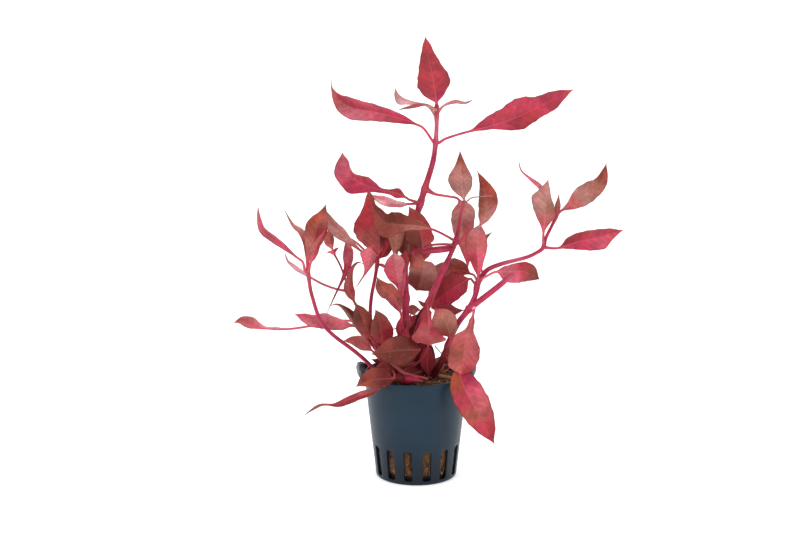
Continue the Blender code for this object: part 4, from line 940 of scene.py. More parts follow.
def blade_shape(leaf, sizes, colours):
    """A leaf's open sheet: its rows from the stalk to the tip, its relief, colours and thickness."""
    sheet = Sheet(stalk_points(leaf) if leaf.stem else [], [seen(spot) for spot in leaf.blade])
    chance = random.Random(leaf.name)
    left, right = halves_of(leaf, colours, chance)
    turn = chance.uniform(0, 50)
    widest = max(leaf.left + leaf.right)
    columns = 2 * clamp(round(widest * 1.5), 4, 10)
    vein_spacing = clamp(sheet.length / 10, 2.2, 4.5)
    stalk_tint, reverse_tint = colours[leaf.stalk_tone], colours[leaf.reverse]
    shape = bmesh.new()
    shape.loops.layers.uv.new("UVMap")
    face_colour = shape.verts.layers.float_color.new("face_colour")
    reverse_colour = shape.verts.layers.float_color.new("reverse_colour")
    leaf_place = shape.verts.layers.float_color.new("leaf_place")
    weight = shape.verts.layers.deform.verify()
    corners = bmesh.ops.create_grid(
        shape, x_segments=columns, y_segments=len(sheet.middle) - 1, size=1, calc_uvs=True
    )["verts"]
    for row, middle in enumerate(sheet.middle):
        along = sheet.along(row)
        share = clamp(along, 0, 1)
        travelled = along * sheet.length
        for column in range(columns + 1):
            across = 2 * column / columns - 1
            part = abs(across)
            half = left if across < 0 else right
            blade_width = half_width(half.widths, share) if along > 0 else 0
            ripple = half.waving(travelled, 0.6) + 0.4 * half.waving(travelled, 0.31, 2.3)
            width = math.hypot(blade_width, sheet.least_width(row, leaf.sheath))
            width += RIPPLE * blade_width * ripple
            distance = part * width
            full = blade_width / widest
            phase = (travelled - VEIN_LEAN * distance - VEIN_CURVE * distance**2) / vein_spacing
            swell = 0.5 - 0.5 * math.cos(2 * math.pi * phase)
            depth = half.behind * blade_width / max(half.widths) * part**1.5
            depth += leaf.ruffle * full * part**2.5 * 1.4 * half.waving(travelled)
            depth -= sizes["vein_relief"] * swell * full * math.sin(math.pi * min(part * 1.05, 1))
            depth += MIDRIB_DEPTH * full**0.5 * bell(distance, MIDRIB_WIDTH)
            depth += noise.noise(middle * 130 + Vector((turn, across, 0))) * 0.5 * part * full
            corner = corners[row * (columns + 1) + column]
            corner.co = middle + (sheet.side[row] * across * width + sheet.away[row] * depth) * MM
            tint = blend(left.tones, share).lerp(blend(right.tones, share), ease(across, -0.12, 0.12))
            on_blade = ease(along, -0.02, 0.1)
            corner[face_colour] = (*stalk_tint.lerp(tint, on_blade), 1)
            corner[reverse_colour] = (*stalk_tint.lerp(tint.lerp(reverse_tint, 0.6), on_blade), 1)
            corner[leaf_place] = (distance, phase, part, share)
            corner[weight][0] = thickness_here(
                sizes["blade_thickness"], part, share, full, distance, width
            )
    return shape


def make_leaf(leaf, sizes, colours, materials):
    """A leaf with its stalk: an open sheet with a live thickness, its reverse of its own."""
    shape = blade_shape(leaf, sizes, colours)
    node = leaf.name if leaf.stem else ""
    made = finished(leaf.name + "_blade", shape, materials, node)
    made.vertex_groups.new(name="thickness")
    wall = made.modifiers.new("thickness", "SOLIDIFY")
    wall.thickness = FULL_THICKNESS * MM
    wall.offset = 0
    wall.vertex_group = "thickness"
    wall.thickness_vertex_group = RIM_THICKNESS / FULL_THICKNESS
    wall.material_offset = 1


def make_leaves(context, leaves):
    """A group of leaves; they share a material for the side that is seen and one for the reverse."""
    sizes = sizes_of(context)
    colours = palette(context)
    materials = [
        leaf_material(colours, "leaf face", "face_colour", relief=1.0, midrib=0.34, veins=0.2),
        leaf_material(colours, "leaf reverse", "reverse_colour", relief=-1.0, midrib=0.45, veins=0.24),
    ]
    for leaf in leaves:
        make_leaf(leaf, sizes, colours, materials)


def make_young_growth(context):
    """Leaflets, a bud and thin loose stalks."""
    make_leaves(context, YOUNG_LEAVES)
    colours = palette(context)
    for name, path, (foot, end), tones in STRANDS:
        shape = tube_shape()
        points = [seen(spot) for spot in path]
        line = evenly(points, max(8, round(length_of(points) / STALK_STEP)))
        add_thread(shape, line, foot, end, 10, tone_row(colours, tones))
        finished(name, shape, [stem_material(colours)], "")


# Pot, wool and roots


def wall_radius(up):
    """The pot's outer radius at this height, in millimetres."""
    return FOOT_RADIUS + (RIM_RADIUS - FOOT_RADIUS) * up / POT_HEIGHT


def reach_of(place):
    """How far a place lies from the pot's axis, in millimetres."""
    return math.hypot(place.x, place.y) / MM


def set_reach(place, wanted):
    """Moves a place straight in or out, to so many millimetres from the pot's axis."""
    change = wanted / reach_of(place)
    place.x *= change
    place.y *= change


def angle_of(place):
    """How far round the pot's axis a place lies, in degrees from the front towards the right."""
    return math.degrees(math.atan2(place.x, -place.y))


def spun(profile, steps, start=0.0, sweep=360.0):
    """A line of (radius, height) in millimetres spun round Z, from the start angle from the front."""
    shape = bmesh.new()
    turn = Matrix.Rotation(math.radians(start), 3, "Z")
    corners = [shape.verts.new(turn @ Vector((0, -radius, up)) * MM) for radius, up in profile]
    edges = [shape.edges.new(pair) for pair in zip(corners, corners[1:])]
    bmesh.ops.spin(
        shape, geom=corners + edges, axis=UP, cent=(0, 0, 0), angle=math.radians(sweep),
        steps=steps, use_merge=sweep == 360.0,
    )
    bmesh.ops.remove_doubles(shape, verts=shape.verts, dist=WELD)
    return shape


def column_at(place):
    """How many columns round the axis a place stands from the first slot's middle."""
    return (angle_of(place) - FIRST_SLOT_ANGLE) / 360 * COLUMNS_A_SLOT * SLOTS


def from_middle(column, spacing):
    """How many columns this one stands from the nearest slot's middle."""
    return (column + spacing / 2) % spacing - spacing / 2


def turned(corner, angle):
    """Moves a corner round the pot's axis by an angle in radians."""
    corner.co = Matrix.Rotation(angle, 3, "Z") @ corner.co


def shift_column(corner, offset, half_slot, half_columns, spacing):
    """Moves a corner round the axis, so that the slot's edges lie half a slot from its middle."""
    pitch = 2 * math.pi / (COLUMNS_A_SLOT * SLOTS)
    edge = math.asin(min(half_slot / reach_of(corner.co), 0.9))
    if abs(offset) <= half_columns:
        angle = edge * abs(offset) / half_columns
    else:
        beyond = (abs(offset) - half_columns) / (spacing / 2 - half_columns)
        angle = edge + (spacing / 2 * pitch - edge) * beyond
    turned(corner, math.copysign(angle, offset) - offset * pitch)


def pot_profile():
    """The pot's outside as (radius, height), from its rim to the middle of its foot."""
    heights = [POT_HEIGHT, 46, 41, 36, 31, 26, 21, 18.4]
    heights += [SLOT_HIGH, SLOT_HIGH - 0.6, 13, 10, 7, 4.5, SLOT_LOW + 0.6, SLOT_LOW]
    profile = [(wall_radius(up), up) for up in heights]
    for k in range(5):
        bend = math.radians(90 * k / 4)
        radius = wall_radius(FOOT_ROUND) - FOOT_ROUND * (1 - math.cos(bend))
        profile.append((radius, FOOT_ROUND * (1 - math.sin(bend))))
    floor = (16.5, FLOOR_SLOT_OUTER, 13, 10, 8, FLOOR_SLOT_INNER, 4, 2, 0)
    return profile + [(radius, 0) for radius in floor]


def slot_faces(shape):
    """The faces that stand where the slots of the pot's wall and floor are."""
    gone = []
    for face in shape.faces:
        middle = face.calc_center_median()
        column = column_at(middle)
        in_wall = SLOT_LOW < middle.z / MM < SLOT_HIGH
        in_floor = middle.z < ON_FLOOR and FLOOR_SLOT_INNER < reach_of(middle) < FLOOR_SLOT_OUTER
        if in_wall and abs(from_middle(column, COLUMNS_A_SLOT)) < SLOT_COLUMNS:
            gone.append(face)
        elif in_floor and abs(from_middle(column, FLOOR_SPACING)) < FLOOR_SLOT_COLUMNS:
            gone.append(face)
    return gone


def fit_slots(shape, half_slot):
    """Moves the corners round the axis, so that the slots get their width and cut-off corners."""
    for corner in shape.verts:
        reach = reach_of(corner.co)
        if reach < 0.01:
            continue
        column = round(column_at(corner.co))
        if corner.co.z > ON_FLOOR:
            offset = from_middle(column, COLUMNS_A_SLOT)
            shift_column(corner, offset, half_slot, SLOT_COLUMNS, COLUMNS_A_SLOT)
            for up, inward in ((SLOT_HIGH, -SLOT_CORNER), (SLOT_LOW, SLOT_CORNER)):
                if abs(offset) == SLOT_COLUMNS and abs(corner.co.z / MM - up) < 0.01:
                    corner.co.z += inward * MM
                    turned(corner, -math.copysign(CORNER_TURN / reach, offset))
        elif FLOOR_SLOT_INNER - 0.1 < reach < FLOOR_SLOT_OUTER + 0.1:
            offset = from_middle(column, FLOOR_SPACING)
            shift_column(corner, offset, FLOOR_HALF_SLOT, FLOOR_SLOT_COLUMNS, FLOOR_SPACING)


def make_pot(context):
    """The pot: a tapered cup with rounded slots near its foot and in its floor."""
    sizes = sizes_of(context)
    colours = palette(context)
    shape = spun(pot_profile(), COLUMNS_A_SLOT * SLOTS, FIRST_SLOT_ANGLE)
    gone = slot_faces(shape)
    fit_slots(shape, sizes["slot_width"] / 2)
    bmesh.ops.delete(shape, geom=gone, context="FACES")
    bmesh.ops.recalc_face_normals(shape, faces=shape.faces)
    pot = finished("net_pot", shape, [pot_material(colours)], "pot")
    wall = pot.modifiers.new("wall", "SOLIDIFY")
    wall.thickness = sizes["wall"] * MM
    wall.offset = -1
    wall.use_even_offset = True
    rounding = pot.modifiers.new("rounding", "BEVEL")
    rounding.width = EDGE_ROUND * MM
    rounding.segments = 2
    rounding.limit_method = "ANGLE"
    rounding.angle_limit = math.radians(50)
    make_ears(colours)


def make_ears(colours):
    """The two thin lip ears that flare out of the rim, left and right."""
    # Each side of an ear's wall as (radius, height), from the rim outwards and back
    outer = [(24.1, 46.2), (25.4, 46.8), (26.9, 48), (27.8, 49.8), (EAR_REACH, 52.2)]
    inner = [(27.6, 54), (26.9, 54.2), (26.5, 52.2), (25.8, 50.6), (24.9, 49.6), (23.9, 49.2)]
    shape = bmesh.new()
    for side in (-90, 90):
        part = spun(outer + inner + outer[:1], 24, side - EAR_HALF_ANGLE, 2 * EAR_HALF_ANGLE)
        for corner in part.verts:
            angle = (angle_of(corner.co) - side + 180) % 360 - 180
            flare = math.cos(math.radians(90 * clamp(abs(angle) / EAR_HALF_ANGLE, 0, 1))) ** 0.5
            set_reach(corner.co, EAR_ROOT + (reach_of(corner.co) - EAR_ROOT) * flare)
            lift = (corner.co.z / MM - EAR_FOOT) * (0.35 + 0.65 * flare)
            corner.co.z = (EAR_FOOT + lift) * MM
        bmesh.ops.holes_fill(part, edges=part.edges)
        bmesh.ops.recalc_face_normals(part, faces=part.faces)
        mesh = bpy.data.meshes.new("ear")
        part.to_mesh(mesh)
        part.free()
        shape.from_mesh(mesh)
        bpy.data.meshes.remove(mesh)
    finished("pot_lip_ears", shape, [ear_material(colours)], "")


def make_wool(context):
    """The plug of mineral wool and peat: uneven on top and hollowed at its foot."""
    bumps = sizes_of(context)["wool_bumps"]
    heights = (44, 40, 34, 28, 22, 18, 15, 12, 9, 7, 5.4)
    # The plug's outside as (radius, height), from the middle of its top to that of its foot
    profile = [(1.3 * k, PLUG_TOP) for k in range(16)]
    profile += [(20.9, PLUG_TOP - 0.5), (21.6, 45.6)]
    profile += [(wall_radius(up) - WOOL_GAP, up) for up in heights]
    profile += [(17.1, 3.6), (16.9, 1.25), (13, 1.2), (8, 1.2), (4, 1.2), (0, 1.2)]
    shape = spun(profile, 110)
    shape.normal_update()
    for corner in shape.verts:
        up = corner.co.z / MM
        coarse = noise.noise(corner.co * 170)
        fine = noise.noise(corner.co * 520 + Vector((7, 3, 1)))
        bump = (SIDE_BUMPS + (bumps - SIDE_BUMPS) * ease(up, 44.5, 47)) * coarse + 0.4 * fine
        corner.co += corner.normal * (bump - 0.25) * ease(up, 2, 5) * MM
    bmesh.ops.recalc_face_normals(shape, faces=shape.faces)
    finished("mineral_wool", shape, [wool_material(palette(context))], "wool_plug")


def wandering(chance, start, ahead, length, droop):
    """A short bent line of points that starts at a place in millimetres and wanders on."""
    line = [start * MM]
    for _ in range(6):
        swing = Vector([chance.uniform(-1, 1) for _ in range(3)])
        ahead = (ahead + swing * 0.55 - UP * droop).normalized()
        line.append(line[-1] + ahead * length / 6 * MM)
    return evenly(line, 8)


def add_root(shape, chance, line, radius, colours):
    """Adds a root thread in one of five pairs of tones; it thins out to its end."""
    tones = chance.choice(["straw rust", "rust wool", "wool peat", "straw fawn", "rust straw"])
    add_thread(shape, line, radius, 0.4 * radius, 5, tone_row(colours, tones))


def add_top_root(shape, chance, colours):
    """Adds a root that lies on the wool."""
    angle = chance.uniform(0, 2 * math.pi)
    radius = 20.5 * chance.random() ** 0.6
    up = PLUG_TOP + chance.uniform(-0.4, 0.8)
    start = Vector((radius * math.cos(angle), radius * math.sin(angle), up))
    turn = chance.uniform(0, 2 * math.pi)
    ahead = Vector((math.cos(turn), math.sin(turn), chance.uniform(-0.1, 0.8)))
    line = wandering(chance, start, ahead, chance.uniform(3.5, 11), 0.22)
    for point in line:
        set_reach(point, min(reach_of(point), 21.6))
        point.z = clamp(point.z, (PLUG_TOP - 0.8) * MM, (PLUG_TOP + 3.5) * MM)
    add_root(shape, chance, line, chance.uniform(0.12, 0.42), colours)


def add_slot_root(shape, chance, middle, colours):
    """Adds a root that climbs behind the slot whose middle is at this angle."""
    angle = middle + chance.uniform(-0.11, 0.11)
    up = chance.uniform(3.4, 12.5)
    radius = wall_radius(up) - chance.uniform(1.75, 2.2)
    start = Vector((math.sin(angle) * radius, -math.cos(angle) * radius, up))
    swing_x, swing_y = chance.uniform(-0.3, 0.3), chance.uniform(-0.3, 0.3)
    ahead = Vector((math.cos(angle) * swing_x, math.sin(angle) * swing_y, 1))
    line = wandering(chance, start, ahead, chance.uniform(3, 8), 0)
    for point in line:
        wall = wall_radius(point.z / MM)
        set_reach(point, clamp(reach_of(point), wall - 2.3, wall - 1.45))
        point.z = min(point.z, 17.5 * MM)
    add_root(shape, chance, line, chance.uniform(0.14, 0.4), colours)


def make_roots(context):
    """Root threads and fibres on top of the wool and behind the slots, all from one fixed seed."""
    colours = palette(context)
    chance = random.Random(3)
    shape = tube_shape()
    for _ in range(TOP_ROOTS):
        add_top_root(shape, chance, colours)
    for slot in range(SLOTS):
        for _ in range(ROOTS_A_SLOT):
            add_slot_root(shape, chance, math.radians(FIRST_SLOT_ANGLE + 360 * slot / SLOTS), colours)
    finished("root_threads", shape, [root_material()], "")


# Materials


def feed(tree, node, inputs):
    """Gives each input a value, or the socket that feeds it."""
    for name, value in inputs.items():
        socket = node.inputs[name]
        if isinstance(value, bpy.types.NodeSocket):
            tree.links.new(value, socket)
        elif socket.type == "RGBA" and len(value) == 3:
            socket.default_value = (*value, 1)
        else:
            socket.default_value = value


def put(tree, kind, inputs=None, **settings):
    """Adds a node with its settings and what feeds its inputs."""
    made = tree.nodes.new(kind)
    for name, value in settings.items():
        setattr(made, name, value)
    feed(tree, made, inputs or {})
    return made


def math_node(tree, operation, *values):
    """The result of a sum on values or sockets."""
    return put(tree, "ShaderNodeMath", dict(enumerate(values)), operation=operation).outputs[0]


def times(tree, first, second):
    """The product of two values or sockets."""
    return math_node(tree, "MULTIPLY", first, second)


def times_plus(tree, first, second, third):
    """The first times the second, plus the third."""
    return math_node(tree, "MULTIPLY_ADD", first, second, third)


def rise(tree, value, low, high, at_low=0.0, at_high=1.0):
    """A smooth change from at_low to at_high as the value goes from low to high."""
    made = put(
        tree, "ShaderNodeMapRange",
        {"Value": value, "From Min": low, "From Max": high, "To Min": at_low, "To Max": at_high},
        interpolation_type="SMOOTHSTEP",
    )
    return made.outputs["Result"]


def noise_of(tree, vector, scale, detail=2.0, roughness=0.5):
    """Noise of this scale, about 0.5."""
    made = put(
        tree, "ShaderNodeTexNoise",
        {"Vector": vector, "Scale": scale, "Detail": detail, "Roughness": roughness},
    )
    return made.outputs["Fac"]


def mixed(tree, share, first, second, blend="MIX"):
    """Two colours mixed by a share."""
    inputs = {0: share, 6: first, 7: second}
    return put(tree, "ShaderNodeMix", inputs, data_type="RGBA", blend_type=blend).outputs[2]


def shaded(tree, colour, share):
    """A colour made darker or lighter by a share that changes over the surface."""
    made = put(tree, "ShaderNodeVectorMath", {0: colour, "Scale": share}, operation="SCALE")
    return made.outputs[0]


def painted(tree, name):
    """What the mesh says of each corner under this name."""
    return put(tree, "ShaderNodeAttribute", attribute_name=name).outputs


def places_of(tree):
    """Where the surface lies, in metres."""
    return put(tree, "ShaderNodeTexCoord").outputs["Object"]


def height_of(tree, places):
    """How high a place is, in metres."""
    return put(tree, "ShaderNodeSeparateXYZ", {0: places}).outputs["Z"]


def stretched(tree, vector, scale):
    """Places scaled by three factors, so that what is laid over them is drawn out."""
    return put(tree, "ShaderNodeMapping", {"Vector": vector, "Scale": scale}).outputs["Vector"]


def bumped(tree, height, distance, strength=0.6):
    """The normal of a surface with this height, in metres of distance."""
    inputs = {"Height": height, "Distance": distance, "Strength": strength}
    return put(tree, "ShaderNodeBump", inputs).outputs["Normal"]


def new_material(name):
    """A new material, its node tree and its shader."""
    made = bpy.data.materials.new(name)
    made.use_nodes = True
    return made, made.node_tree, made.node_tree.nodes["Principled BSDF"]


def new_group(name, inputs, outputs):
    """A node group with these inputs (name, kind, default) and outputs (name, kind)."""
    tree = bpy.data.node_groups.new(name, "ShaderNodeTree")
    for title, kind, value in inputs:
        socket = tree.interface.new_socket(title, in_out="INPUT", socket_type=kind)
        socket.default_value = value
    for title, kind in outputs:
        tree.interface.new_socket(title, in_out="OUTPUT", socket_type=kind)
    return tree, tree.nodes.new("NodeGroupInput").outputs, tree.nodes.new("NodeGroupOutput")


def leaf_tissue():
    """Midrib, side veins, the net between them, blotches, painted relief shading beside the veins and a
    darker margin.
    """
    name = "leaf tissue"
    if name in bpy.data.node_groups:
        return bpy.data.node_groups[name]
    number, colour = "NodeSocketFloat", "NodeSocketColor"
    tree, given, result = new_group(
        name,
        [("Colour", colour, (0.5, 0.1, 0.1, 1)), ("Vein Colour", colour, (0.7, 0.3, 0.3, 1)),
         ("Midrib", number, 0.5), ("Veins", number, 0.2), ("Blotches", number, 0.3),
         ("Browning", number, 0.4), ("Flecks", number, 0.3)],
        [("Colour", colour), ("Height", number), ("Roughness", number)],
    )
    places = places_of(tree)
    leaf = painted(tree, "leaf_place")
    parts = put(tree, "ShaderNodeSeparateColor", {"Color": leaf["Color"]}).outputs
    distance, phase, across, along = parts[0], parts[1], parts[2], leaf["Alpha"]
    midrib = rise(tree, distance, 0.14, 0.5, 1, 0)
    midrib = times(tree, midrib, rise(tree, along, 0.05, 1, 1, 0.25))
    wobble = math_node(tree, "SUBTRACT", noise_of(tree, places, 260), 0.5)
    from_vein = math_node(tree, "PINGPONG", times_plus(tree, wobble, 0.35, phase), 0.5)
    veins = rise(tree, from_vein, 0.0, 0.1, 1, 0)
    veins = times(tree, veins, rise(tree, across, 0.45, 0.95, 1, 0))
    faint = rise(tree, noise_of(tree, places, 190), 0.4, 0.6, 0.3, 1)
    veins = times(tree, veins, faint)
    cells = put(
        tree, "ShaderNodeTexVoronoi", {"Vector": places, "Scale": 1100.0},
        feature="DISTANCE_TO_EDGE",
    ).outputs["Distance"]
    net = rise(tree, cells, 0.0, 0.12, 1, 0)
    large = rise(tree, noise_of(tree, places, 120, 3), 0.35, 0.68, -1, 1)
    small = rise(tree, noise_of(tree, places, 420, 3, 0.6), 0.3, 0.7, -1, 1)
    # Painted shade and light of the relief: darker beside the sunk veins, lighter on the swellings between
    # them
    vein_crease_shade = rise(tree, from_vein, 0.03, 0.5, -0.1, 0.08)
    vein_crease_shade = times(tree, vein_crease_shade, rise(tree, across, 0.6, 1, 1, 0))
    light = times_plus(tree, large, given["Blotches"], 1.0)
    light = times_plus(tree, small, 0.1, light)
    light = times_plus(tree, net, 0.035, light)
    light = math_node(tree, "ADD", light, vein_crease_shade)
    light = times(tree, light, rise(tree, across, 0.9, 1, 1, 0.62))
    surface = shaded(tree, given["Colour"], light)
    brown = rise(tree, noise_of(tree, places, 170, 4, 0.62), 0.42, 0.62)
    brown = times(tree, brown, given["Browning"])
    surface = mixed(tree, brown, surface, (0.74, 0.98, 0.76), "MULTIPLY")
    elsewhere = put(tree, "ShaderNodeVectorMath", {0: places, 1: (0.31, 0.17, 0.23)}).outputs[0]
    pink = rise(tree, noise_of(tree, elsewhere, 150, 3, 0.6), 0.5, 0.66, 0, 0.6)
    surface = mixed(tree, pink, surface, (1.1, 1.08, 1.5), "MULTIPLY")
    flecks = rise(tree, noise_of(tree, elsewhere, 520, 2), 0.66, 0.74)
    surface = mixed(tree, times(tree, flecks, given["Flecks"]), surface, given["Vein Colour"])
    spots = rise(tree, noise_of(tree, places, 330, 1), 0.69, 0.75)
    surface = mixed(tree, times(tree, spots, 0.3), surface, (0.16, 0.035, 0.02))
    surface = mixed(tree, times(tree, veins, given["Veins"]), surface, given["Vein Colour"])
    surface = mixed(tree, times(tree, midrib, given["Midrib"]), surface, given["Vein Colour"])
    height = times_plus(tree, veins, -0.6, 0.5)
    height = times_plus(tree, net, -0.1, height)
    height = times_plus(tree, small, 0.12, height)
    rough = times_plus(tree, small, 0.06, 0.5)
    rough = times_plus(tree, veins, 0.08, rough)
    feed(tree, result, {"Colour": surface, "Height": height, "Roughness": rough})
    return tree


def leaf_material(colours, name, attribute, relief, midrib, veins):
    """One side of a leaf; relief is 1 where the veins are sunk and -1 where they stand out."""
    if name in bpy.data.materials:
        return bpy.data.materials[name]
    made, tree, shader = new_material(name)
    colour = painted(tree, attribute)["Color"]
    vein_colour = mixed(tree, 0.28, shaded(tree, colour, 1.45), colours["shell"])
    tissue = put(
        tree, "ShaderNodeGroup",
        {"Colour": colour, "Vein Colour": vein_colour, "Midrib": midrib, "Veins": veins,
         "Blotches": 0.2, "Browning": 0.55, "Flecks": 0.35},
        node_tree=leaf_tissue(),
    ).outputs
    feed(tree, shader, {
        "Base Color": tissue["Colour"],
        "Roughness": tissue["Roughness"],
        "Specular IOR Level": 0.25,
        "Normal": bumped(tree, times(tree, tissue["Height"], relief), 0.12 * MM),
    })
    return made


def stem_material(colours):
    """Satin, watery stem skin with streaks and fine ridges along it."""
    name = "stem skin"
    if name in bpy.data.materials:
        return bpy.data.materials[name]
    made, tree, shader = new_material(name)
    long = stretched(tree, painted(tree, "stem_place")["Vector"], (2.6, 0.12, 2.6))
    streaks = rise(tree, noise_of(tree, long, 1.6, 3), 0.35, 0.65, -1, 1)
    blotches = rise(tree, noise_of(tree, places_of(tree), 210, 2), 0.35, 0.7, -1, 1)
    light = times_plus(tree, streaks, 0.16, 1.0)
    light = times_plus(tree, blotches, 0.07, light)
    surface = shaded(tree, painted(tree, "stem_colour")["Color"], light)
    surface = mixed(tree, 1.0, surface, (0.86, 0.9, 1.0), "MULTIPLY")
    feed(tree, shader, {
        "Base Color": mixed(tree, rise(tree, streaks, 0.2, 1, 0, 0.18), surface, colours["blush"]),
        "Roughness": 0.45,
        "Specular IOR Level": 0.25,
        "Normal": bumped(tree, noise_of(tree, long, 4.2, 2), 0.15 * MM),
    })
    return made


def pot_material(colours):
    """Satin slate-blue moulded plastic, faintly scuffed, with painted shade darkening it towards the foot.
    """
    made, tree, shader = new_material("pot plastic")
    places = places_of(tree)
    cloudy = rise(tree, noise_of(tree, places, 60, 3), 0.35, 0.7, 0, 0.3)
    # Painted shade: the wall turns a deeper slate towards the pot's foot
    low = rise(tree, height_of(tree, places), 2 * MM, 26 * MM, 1, 0)
    surface = mixed(tree, cloudy, colours["slate"], colours["slate_pale"])
    scuffs = rise(tree, noise_of(tree, places, 480, 4, 0.7), 0.5, 0.75)
    feed(tree, shader, {
        "Base Color": mixed(tree, times(tree, low, 0.8), surface, colours["slate_foot_shade"]),
        "Roughness": times_plus(tree, scuffs, 0.14, 0.36),
        "Specular IOR Level": 0.26,
        "Normal": bumped(tree, noise_of(tree, places, 2600, 2), 0.02 * MM, 0.4),
    })
    return made


def ear_material(colours):
    """Thin smoke-grey plastic, made pale by painted backlight, with painted shade dark in the hollow where
    it meets the rim.
    """
    made, tree, shader = new_material("ear plastic")
    places = places_of(tree)
    cloudy = rise(tree, noise_of(tree, places, 300, 2), 0.35, 0.65)
    # Painted backlight: the grey is pale as if lit through the thin plastic
    grey = mixed(tree, cloudy, colours["smoke"], colours["smoke_backlit"])
    level = put(tree, "ShaderNodeVectorMath", {0: places, 1: (1, 1, 0)}, operation="MULTIPLY")
    reach = put(tree, "ShaderNodeVectorMath", {0: level.outputs[0]}, operation="LENGTH")
    # Painted shade: dark in the hollow between the ear and the pot's wall
    inside = rise(tree, reach.outputs["Value"], 26.3 * MM, 27.3 * MM, 1, 0)
    feed(tree, shader, {
        "Base Color": mixed(tree, times(tree, inside, 0.9), grey, colours["ear_cavity_shade"]),
        "Roughness": 0.5,
        "Normal": bumped(tree, noise_of(tree, places, 2000, 2), 0.02 * MM, 0.4),
    })
    return made


def wool_material(colours):
    """Damp mineral wool: brown fibres, crumbs and dark pits, with painted shade darkening it near its
    foot.
    """
    made, tree, shader = new_material("damp wool")
    places = places_of(tree)
    fibres = rise(tree, noise_of(tree, stretched(tree, places, (1, 1, 0.28)), 900, 4, 0.65), 0.35, 0.65)
    pits = rise(tree, noise_of(tree, places, 260, 3), 0.42, 0.6)
    golden = rise(tree, noise_of(tree, places, 150, 2), 0.45, 0.6)
    surface = mixed(tree, fibres, colours["wool"], colours["rust"])
    surface = mixed(tree, pits, colours["peat"], surface)
    surface = mixed(tree, times(tree, golden, 0.45), surface, colours["ochre"])
    # Painted shade: darker near the plug's foot, behind the lowest part of the slots
    painted_foot_shade = rise(tree, height_of(tree, places), 3.4 * MM, 6 * MM, 0.15, 1)
    feed(tree, shader, {
        "Base Color": shaded(tree, surface, painted_foot_shade),
        "Roughness": 0.9,
        "Normal": bumped(tree, fibres, 0.5 * MM, 0.9),
    })
    return made


def root_material():
    """Root threads, dull and slightly streaked."""
    made, tree, shader = new_material("root thread")
    streaks = noise_of(tree, places_of(tree), 800, 2)
    light = rise(tree, streaks, 0.3, 0.7, 0.7, 1.2)
    feed(tree, shader, {
        "Base Color": shaded(tree, painted(tree, "stem_colour")["Color"], light),
        "Roughness": 0.75,
        "Normal": bumped(tree, streaks, 0.1 * MM),
    })
    return made


# Studio


def make_sweep():
    """A pale paper that is the floor and curves up to be the backdrop."""
    shape = bmesh.new()
    # The paper's line as (up, back), from its front edge to its top
    profile = [(0, -2400), (0, 900)]
    for k in range(1, 13):
        bend = math.radians(90 * k / 12)
        profile.append((600 * (1 - math.cos(bend)), 900 + 600 * math.sin(bend)))
    profile.append((2600, 1500))
    corners = [shape.verts.new((-2500 * MM, back * MM, up * MM)) for up, back in profile]
    edges = [shape.edges.new(pair) for pair in zip(corners, corners[1:])]
    made = bmesh.ops.extrude_edge_only(shape, edges=edges)
    moved = [item for item in made["geom"] if isinstance(item, bmesh.types.BMVert)]
    bmesh.ops.translate(shape, verts=moved, vec=(5000 * MM, 0, 0))
    bmesh.ops.recalc_face_normals(shape, faces=shape.faces)
    paper, tree, shader = new_material("studio paper")
    white = (1, 1, 1, 1)
    feed(tree, shader, {
        "Base Color": (0.93, 0.93, 0.93, 1), "Roughness": 0.85,
        "Emission Color": white, "Emission Strength": PAPER_GLOW,
    })
    mesh_object("studio_sweep", shape, [paper])


def make_light(name, place, size, power):
    """A round soft light that shines at the plant's middle."""
    lamp = bpy.data.lights.new(name, "AREA")
    lamp.shape = "DISK"
    lamp.size = size
    lamp.energy = power
    made = add_object(name, lamp)
    made.location = place
    aim = Vector((0, 0, 0.1)) - made.location
    made.rotation_euler = aim.to_track_quat("-Z", "Y").to_euler()


def make_eye():
    """The camera that sees the plant as the photograph does."""
    lens = bpy.data.cameras.new("eye")
    lens.lens = EYE_LENS
    lens.sensor_width = 36
    lens.clip_start = 0.01
    lens.clip_end = 20
    eye = add_object("eye", lens)
    eye.location = EYE
    eye.rotation_euler = (math.radians(90 - EYE_DOWN), 0, 0)
    return eye


def make_studio(context):
    """A pale sweep for floor and backdrop, soft lights all round, and the camera."""
    make_sweep()
    world = bpy.data.worlds.new("studio air")
    world.use_nodes = True
    air = world.node_tree.nodes["Background"]
    feed(world.node_tree, air, {"Color": (1, 1, 1, 1), "Strength": AIR_STRENGTH})
    context.scene.world = world
    make_light("key_light", (-0.9, -1.1, 1.3), 1.2, 10.5)
    make_light("fill_light", (1.1, -0.9, 0.9), 1.2, 5)
    make_light("top_light", (0, 0.1, 1.6), 1.4, 9)
    context.scene.camera = make_eye()
    context.scene.view_settings.view_transform = "Standard"


# Settings, operators and panel


def colour_settings():
    """One colour setting for each tone."""
    return {
        name: FloatVectorProperty(
            name=name.replace("_", " ").capitalize(),
            description=f"The {name.replace('_', ' ')} tone of the plant or its pot",
            subtype="COLOR", size=3, min=0, max=1, default=value,
        )
        for name, value in TONES.items()
    }


def size_settings():
    """One setting for each entry of SIZES."""
    return {
        key: FloatProperty(
            name=name, description=words, default=value, unit=unit, min=0, precision=5,
        )
        for key, name, words, value, unit in SIZES
    }


class AlternantheraColours(PropertyGroup):
    """The plant's and the pot's colours."""

    __annotations__ = colour_settings()


class AlternantheraSizes(PropertyGroup):
    """Sizes that a user may change."""

    __annotations__ = size_settings()


class ALTERNANTHERA_OT_pot(Operator):
    """Make the slotted pot and its two lip ears"""

    bl_idname = "alternanthera.pot"
    bl_label = "Net Pot"

    def execute(self, context):
        make_pot(context)
        return {"FINISHED"}


